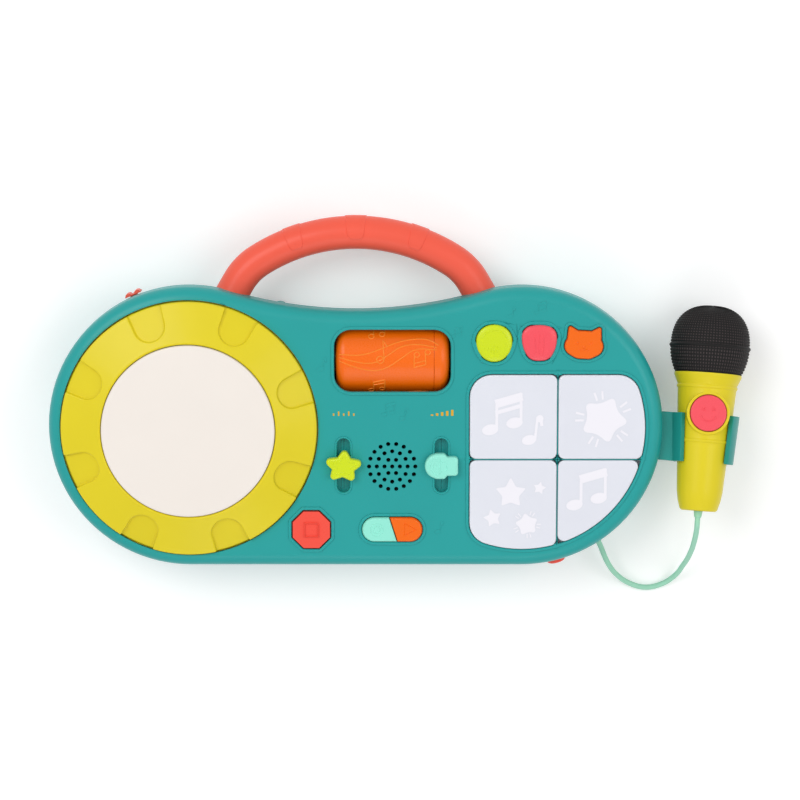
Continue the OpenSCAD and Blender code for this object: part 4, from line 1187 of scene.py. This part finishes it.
class PLAYER_OT_buttons(PieceOperator, bpy.types.Operator):
    """Rounds the buttons' tops and raises their simple signs."""

    bl_idname = "player.buttons"
    bl_label = "Buttons"

    CROWN = ((2.2 * MM, 0.16 * MM), (2.2 * MM, 0.08 * MM))
    SOFT_CROWN = ((1.2 * MM, 0.3 * MM), (1.2 * MM, 0.12 * MM))
    SIGN = 0.9
    SUNK = 0.2

    def build(self, sizes):
        top = CAP_Z * MM
        round_top("stop_button", 0.9 * MM, top, self.CROWN)
        for node in ("record_button", "play_button"):
            round_top(node, 0.8 * MM, top)
        for node in ("lime_button", "pink_button"):
            round_top(node, sizes.button_round, top, self.SOFT_CROWN)
        round_top("cat_button", 0.6 * MM, top)
        self.stop_sign()
        self.pill_signs()
        self.lime_sign()
        self.pink_sign()
        self.cat_face()

    def marks(self, name):
        return Marks(name, CAP_Z - 0.8, CAP_Z)

    def stop_sign(self):
        x, y, _ = middle("stop_button")
        half = 4.2
        marks = self.marks("stop_sign")
        corners = [(x - half, y - half), (x + half, y - half), (x + half, y + half), (x - half, y + half)]
        marks.bead(corners, self.SIGN, True, True, self.SUNK)
        marks.gather("stop", "red")

    def pill_signs(self):
        low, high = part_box("record_button")
        y = (low.y + high.y) / 2 / MM
        marks = self.marks("record_sign")
        marks.ring(13.1, y, 2.2, self.SIGN, self.SUNK)
        marks.ring(13.1, y, 4.0, self.SIGN * 0.8, self.SUNK)
        marks.gather("record", "mint")
        marks = self.marks("play_sign")
        marks.bead([(30.2, y + 4), (30.2, y - 3.6), (37.2, y + 0.2)], self.SIGN, True, True, self.SUNK)
        marks.gather("play", "orange")

    def lime_sign(self):
        x, y, _ = middle("lime_button")
        marks = self.marks("lime_sign")
        marks.bead(arc(x, y + 1, 8, 20, 28, 6, 0.875), self.SIGN, sink=self.SUNK)
        for i in range(-2, 3):
            drop = 1.2 * abs(i)
            ends = [(x + 1.9 * i, y - 6.4 + drop), (x + 1.9 * i, y - 1.2 - 0.6 * drop)]
            marks.bead(ends, self.SIGN, sink=self.SUNK)
        marks.gather("lime", "lime")

    def pink_sign(self):
        x, y, _ = middle("pink_button")
        marks = self.marks("pink_sign")
        for i in range(-1, 2):
            marks.bead([(x + 2.9 * i, y + 5.2), (x + 2.2 * i, y - 6.6)], self.SIGN, sink=self.SUNK)
        marks.gather("pink", "pink")

    def cat_face(self):
        x, y, _ = middle("cat_button")
        y -= 1.5
        marks = self.marks("cat_face")
        for side in (-1, 1):
            marks.ring(x + side * 4.2, y + 1.2, 0.7, self.SIGN, self.SUNK)
            mouth = [(x, y - 2.2), (x + side * 1.6, y - 3.2), (x + side * 3, y - 2.6)]
            marks.bead(mouth, self.SIGN, sink=self.SUNK)
        marks.ring(x, y - 1.2, 0.5, self.SIGN, self.SUNK)
        marks.gather("cat", "orange")


class PLAYER_OT_pads(PieceOperator, bpy.types.Operator):
    """Rounds the light-up pads and prints notes and stars on them."""

    bl_idname = "player.pads"
    bl_label = "Pads"

    MEET = (124.2, -19.3)
    LEFT = 69.8
    RIGHT = 176.1
    TOP = 33.8
    BOTTOM = -72.9
    RIB = 0.4
    WIDENING = 3.0

    def build(self, sizes):
        for i in range(1, 5):
            round_top(f"pad_{i}", sizes.pad_round, PAD_Z * MM)
        self.ribs()
        rise = sizes.print_rise / MM
        prints = [Marks(f"pad_{i}_print", PAD_Z - 0.1, PAD_Z + rise) for i in range(1, 5)]
        prints[0].double_note(90.2, 9.6, 26.6, 2)
        prints[0].single_note(110.2, -0.4, 19)
        self.burst(prints[1], 152.6, 5.8, 15.6, -24)
        prints[2].star(95.6, -40.2, 9.9, 5, 0.54)
        prints[2].star(113.4, -37, 4.1, 5, 0.54, -12)
        prints[2].star(84.4, -55.9, 5.8, 5, 0.54, 14)
        self.burst(prints[2], 105.6, -59.8, 7.6, 10)
        prints[3].double_note(142.4, -37.5, 26.6)
        for marks, body in zip(prints, ("pad_a", "pad_b", "pad_c", "pad_d")):
            marks.gather(body, "milk", ink="print_white")

    def ribs(self):
        """Thin ribs of the case that show between the pads, widened where the pads' corners are round."""
        x, y = self.MEET
        ends = ((self.LEFT, y), (self.RIGHT, y), (x, self.BOTTOM), (x, self.TOP))
        marks = Marks("pad_ribs", FACE_Z - 2.2, FACE_Z + LIP_H - 0.05)
        for end in ends:
            marks.bar(self.MEET, end, self.RIB)
        for place in (self.MEET, *ends):
            marks.star(*place, self.WIDENING, 4, 0.3, 0, 0.02)
        marks.gather("case", "teal")

    def burst(self, marks, x, y, radius, turn):
        """A plump star with a pair of rays in each of its valleys."""
        marks.star(x, y, radius, 5, 0.62, turn, 0.22)
        for i in range(5):
            for spread in (-8, 8):
                angle = math.radians(90 + turn + 36 + 72 * i + spread)
                way = Vector((math.cos(angle), math.sin(angle)))
                start = Vector((x, y)) + 0.8 * radius * way
                marks.bar(start, start + 0.34 * radius * way, 0.08 * radius)


class PLAYER_OT_sliders(PieceOperator, bpy.types.Operator):
    """Rounds the slider knobs and raises their inner lines."""

    bl_idname = "player.sliders"
    bl_label = "Slider knobs"

    def build(self, sizes):
        for node in ("tempo_slider", "volume_slider"):
            round_top(node, sizes.knob_round, KNOB_Z * MM)
        self.dust_lips()
        x, y, _ = middle("tempo_slider")
        marks = Marks("tempo_sign", KNOB_Z - 0.8, KNOB_Z)
        tips = arc(x, y, 7.2, 86, 72, 5, 0.84)
        valleys = arc(x, y, 4.4, 122, 72, 5, 0.84)
        outline = [point for pair in zip(tips, valleys) for point in pair]
        marks.bead(outline, 0.8, True, sink=0.2)
        marks.gather("tempo", "lime")
        x, y, _ = middle("volume_slider")
        marks = Marks("volume_sign", KNOB_Z - 0.8, KNOB_Z)
        for radius in (1.4, 3.2, 5):
            marks.bead(arc(x - 2, y, radius, 95, 25, 8), 0.7, sink=0.2)
        marks.bead([(x - 1, y + 4.6), (x - 1, y - 4.6)], 0.8, sink=0.2)
        horn = [(x - 1, y + 3.6), (x + 3.2, y + 1.8), (x + 3.2, y - 1.8), (x - 1, y - 3.6)]
        marks.bead(horn, 0.7, False, True, 0.2)
        marks.gather("volume", "mint")

    def dust_lips(self):
        """Soft strips that close each slot round the knob's neck."""
        marks = Marks("slot_lips", FACE_Z - 5.6, FACE_Z - 4.95)
        for node in ("tempo_slider", "volume_slider"):
            x, y, _ = middle(node)
            for side in (-1, 1):
                marks.bar((x + 0.9 * side, y - 16.6), (x + 0.9 * side, y + 16.6), 1.6)
        marks.gather("case", "teal")


class PLAYER_OT_microphone(PieceOperator, bpy.types.Operator):
    """Rounds the microphone's body and gives its head rows of grains, their raised tops painted paler as a painted
    highlight.
    """

    bl_idname = "player.microphone"
    bl_label = "Microphone"

    HEAD = 24.2
    HEAD_AT = 102.2
    LENGTH = 127.5
    NECK_AT = 85.6
    NECK = 20.2
    TALK_AT = 60.5
    ROWS = 46
    COLUMNS = 84
    SQUARE = 2.45
    BAND = 1.1

    def build(self, sizes):
        for node in ("mic_body", "mic_button", "mic_ring", "mic_collar"):
            soften(node, sizes.small_edge)
        self.head(sizes)
        self.smile()

    def local(self):
        """Places a point of the microphone, z along it and minus y out of its button, in the frame."""
        along = Vector(JOINTS["mic_slide"]["axis"]).normalized()
        back = Vector(JOINTS["talk_press"]["axis"]).normalized()
        side = back.cross(along)
        turn = Matrix((side, back, along)).transposed().to_4x4()
        return Matrix.Translation(PLAYER_OT_cord.TAIL * MM) @ turn

    def head(self, sizes):
        clear_selection()
        bpy.ops.mesh.primitive_uv_sphere_add(
            segments=self.COLUMNS, ring_count=self.ROWS, radius=self.HEAD * MM
        )
        piece = bpy.context.object
        piece.name = "mic_head_grains"
        drop = self.HEAD_AT - self.NECK_AT
        low = drop / math.sqrt(1 - (self.NECK / self.HEAD) ** 2) / self.HEAD
        top = (self.LENGTH - self.HEAD_AT) / self.HEAD
        edit(piece, "VERT")
        pick(piece, "VERT", lambda v: v.co.z > 0.01 * MM)
        bpy.ops.transform.resize(value=(1, 1, top), center_override=(0, 0, 0))
        pick(piece, "VERT", lambda v: v.co.z < -0.01 * MM)
        bpy.ops.transform.resize(value=(1, 1, low), center_override=(0, 0, 0))
        bpy.ops.mesh.select_all(action="SELECT")
        neck = (0, 0, -drop * MM)
        bpy.ops.mesh.bisect(plane_co=neck, plane_no=(0, 0, -1), use_fill=True, clear_outer=True)
        leave_edit()
        self.fill_shoulders(piece)
        edit(piece)
        pick(piece, "FACE", lambda f: len(f.verts) == 4)
        bpy.ops.mesh.inset(thickness=0.2 * MM, depth=0, use_individual=True)
        bpy.ops.mesh.inset(thickness=0.3 * MM, depth=sizes.knurl, use_individual=True)
        leave_edit()
        piece.matrix_world = self.local() @ Matrix.Translation((0, 0, self.HEAD_AT * MM))
        apply_place(piece)
        stand_in(piece, "mic_head", 60)
        # The raised tops of the grains take the paler grain colour, a painted highlight; the sides and gaps keep
        # the head's own dark colour.
        piece.data.materials.append(material_of("grain"))
        for face in piece.data.polygons:
            face.material_index = int(face.select)
        self.band()

    def fill_shoulders(self, piece):
        """Makes the upper half of the head a little squarer than a ball."""
        height = (self.LENGTH - self.HEAD_AT) * MM
        for vertex in piece.data.vertices:
            share = min(vertex.co.z / height, 0.999)
            if share > 0:
                full = (1 - share**self.SQUARE) ** (1 / self.SQUARE)
                vertex.co.xy *= full / math.sqrt(1 - share**2)
        piece.data.update()

    def band(self):
        """The smooth rib round the widest part of the head."""
        clear_selection()
        bpy.ops.mesh.primitive_torus_add(
            major_radius=self.HEAD * MM,
            minor_radius=self.BAND * MM,
            major_segments=96,
            minor_segments=12,
        )
        piece = bpy.context.object
        piece.name = "mic_head_band"
        piece.matrix_world = self.local() @ Matrix.Translation((0, 0, self.HEAD_AT * MM))
        apply_place(piece)
        smooth(piece, 60)
        settle(piece, "mic", "dark")

    def smile(self):
        """A plain curved line and two dots on the microphone's button."""
        marks = Marks("talk_sign", 0, 0)
        marks.bead(arc(0, 0, 5, 200, 20, 8), 0.9)
        for side in (-1, 1):
            marks.ring(side * 3, 2.4, 0.7, 0.9)
        piece = marks.gather("talk", "pink")
        place = self.local()
        out = -(place.to_3x3() @ Vector((0, 1, 0)))
        button = frame["nodes"]["mic_button"].data.vertices
        reach = max(vertex.co.dot(out) for vertex in button)
        centre = place @ Vector((0, 0, self.TALK_AT * MM))
        centre += out * (reach - centre.dot(out) + 0.05 * MM)
        right = place.to_3x3() @ Vector((1, 0, 0))
        up = out.cross(right)
        turn = Matrix((right, up, out)).transposed().to_4x4()
        for vertex in piece.data.vertices:
            vertex.co = centre + turn.to_3x3() @ vertex.co
        piece.data.update()


class PLAYER_OT_inside(PieceOperator, bpy.types.Operator):
    """Gives the hidden pieces their materials."""

    bl_idname = "player.inside"
    bl_label = "Inner pieces"

    def build(self, sizes):
        shown = {node for node, item in frame["nodes"].items() if not item.hide_render}
        paint(*sorted(shown))


class PLAYER_OT_relief(PieceOperator, bpy.types.Operator):
    """Raises faint notes on the face and lays plain marks over the sliders."""

    bl_idname = "player.relief"
    bl_label = "Relief and marks"

    PAIRS = ((113, 75, 8), (20, 12, 9), (62, 60, 7))
    SINGLES = ((-20, 40, 9), (30, 9, 8), (52, -62, 8), (96, 72, 7))

    def build(self, sizes):
        relief = Marks("face_relief", FACE_Z - 0.2, FACE_Z + sizes.relief_rise / MM)
        for x, y, size in self.PAIRS:
            relief.double_note(x, y, size)
        for x, y, size in self.SINGLES:
            relief.single_note(x, y, size)
        relief.gather("case", "teal", 0.08)
        labels = Marks("slider_marks", FACE_Z - 0.1, FACE_Z + 0.06)
        for i in range(5):
            labels.bar((-13.5 + 3.1 * i, 7.9), (-13.5 + 3.1 * i, 9.4 + 0.6 * (i % 2) * 2), 0.9)
            labels.bar((47 + 3.1 * i, 7.9), (47 + 3.1 * i, 8.8 + 0.7 * i), 1.5)
        labels.gather("case", "teal", ink="label")


class PLAYER_PT_panel(bpy.types.Panel):
    """Lists the player's pieces, colours and sizes."""

    bl_idname = "PLAYER_PT_panel"
    bl_label = "Toy music player"
    bl_space_type = "VIEW_3D"
    bl_region_type = "UI"
    bl_category = "Player"

    def draw(self, context):
        for operator in OPERATORS:
            self.layout.operator(operator.bl_idname)
        for group in (context.scene.player_sizes, context.scene.player_colours):
            for name in group.bl_rna.properties.keys():
                if name not in ("rna_type", "name"):
                    self.layout.prop(group, name)


OPERATORS = (
    PLAYER_OT_stage,
    PLAYER_OT_cord,
    PLAYER_OT_case,
    PLAYER_OT_handle,
    PLAYER_OT_drum,
    PLAYER_OT_roller,
    PLAYER_OT_buttons,
    PLAYER_OT_pads,
    PLAYER_OT_sliders,
    PLAYER_OT_microphone,
    PLAYER_OT_relief,
    PLAYER_OT_inside,
)
CLASSES = (PlayerColours, PlayerSizes, *OPERATORS, PLAYER_PT_panel)


def register():
    for item in CLASSES:
        bpy.utils.register_class(item)
    bpy.types.Scene.player_colours = bpy.props.PointerProperty(type=PlayerColours)
    bpy.types.Scene.player_sizes = bpy.props.PointerProperty(type=PlayerSizes)


def unregister():
    del bpy.types.Scene.player_sizes
    del bpy.types.Scene.player_colours
    for item in reversed(CLASSES):
        bpy.utils.unregister_class(item)


def main():
    register()
    for operator in OPERATORS:
        group, name = operator.bl_idname.split(".")
        getattr(getattr(bpy.ops, group), name)()


if __name__ == "__main__":
    main()
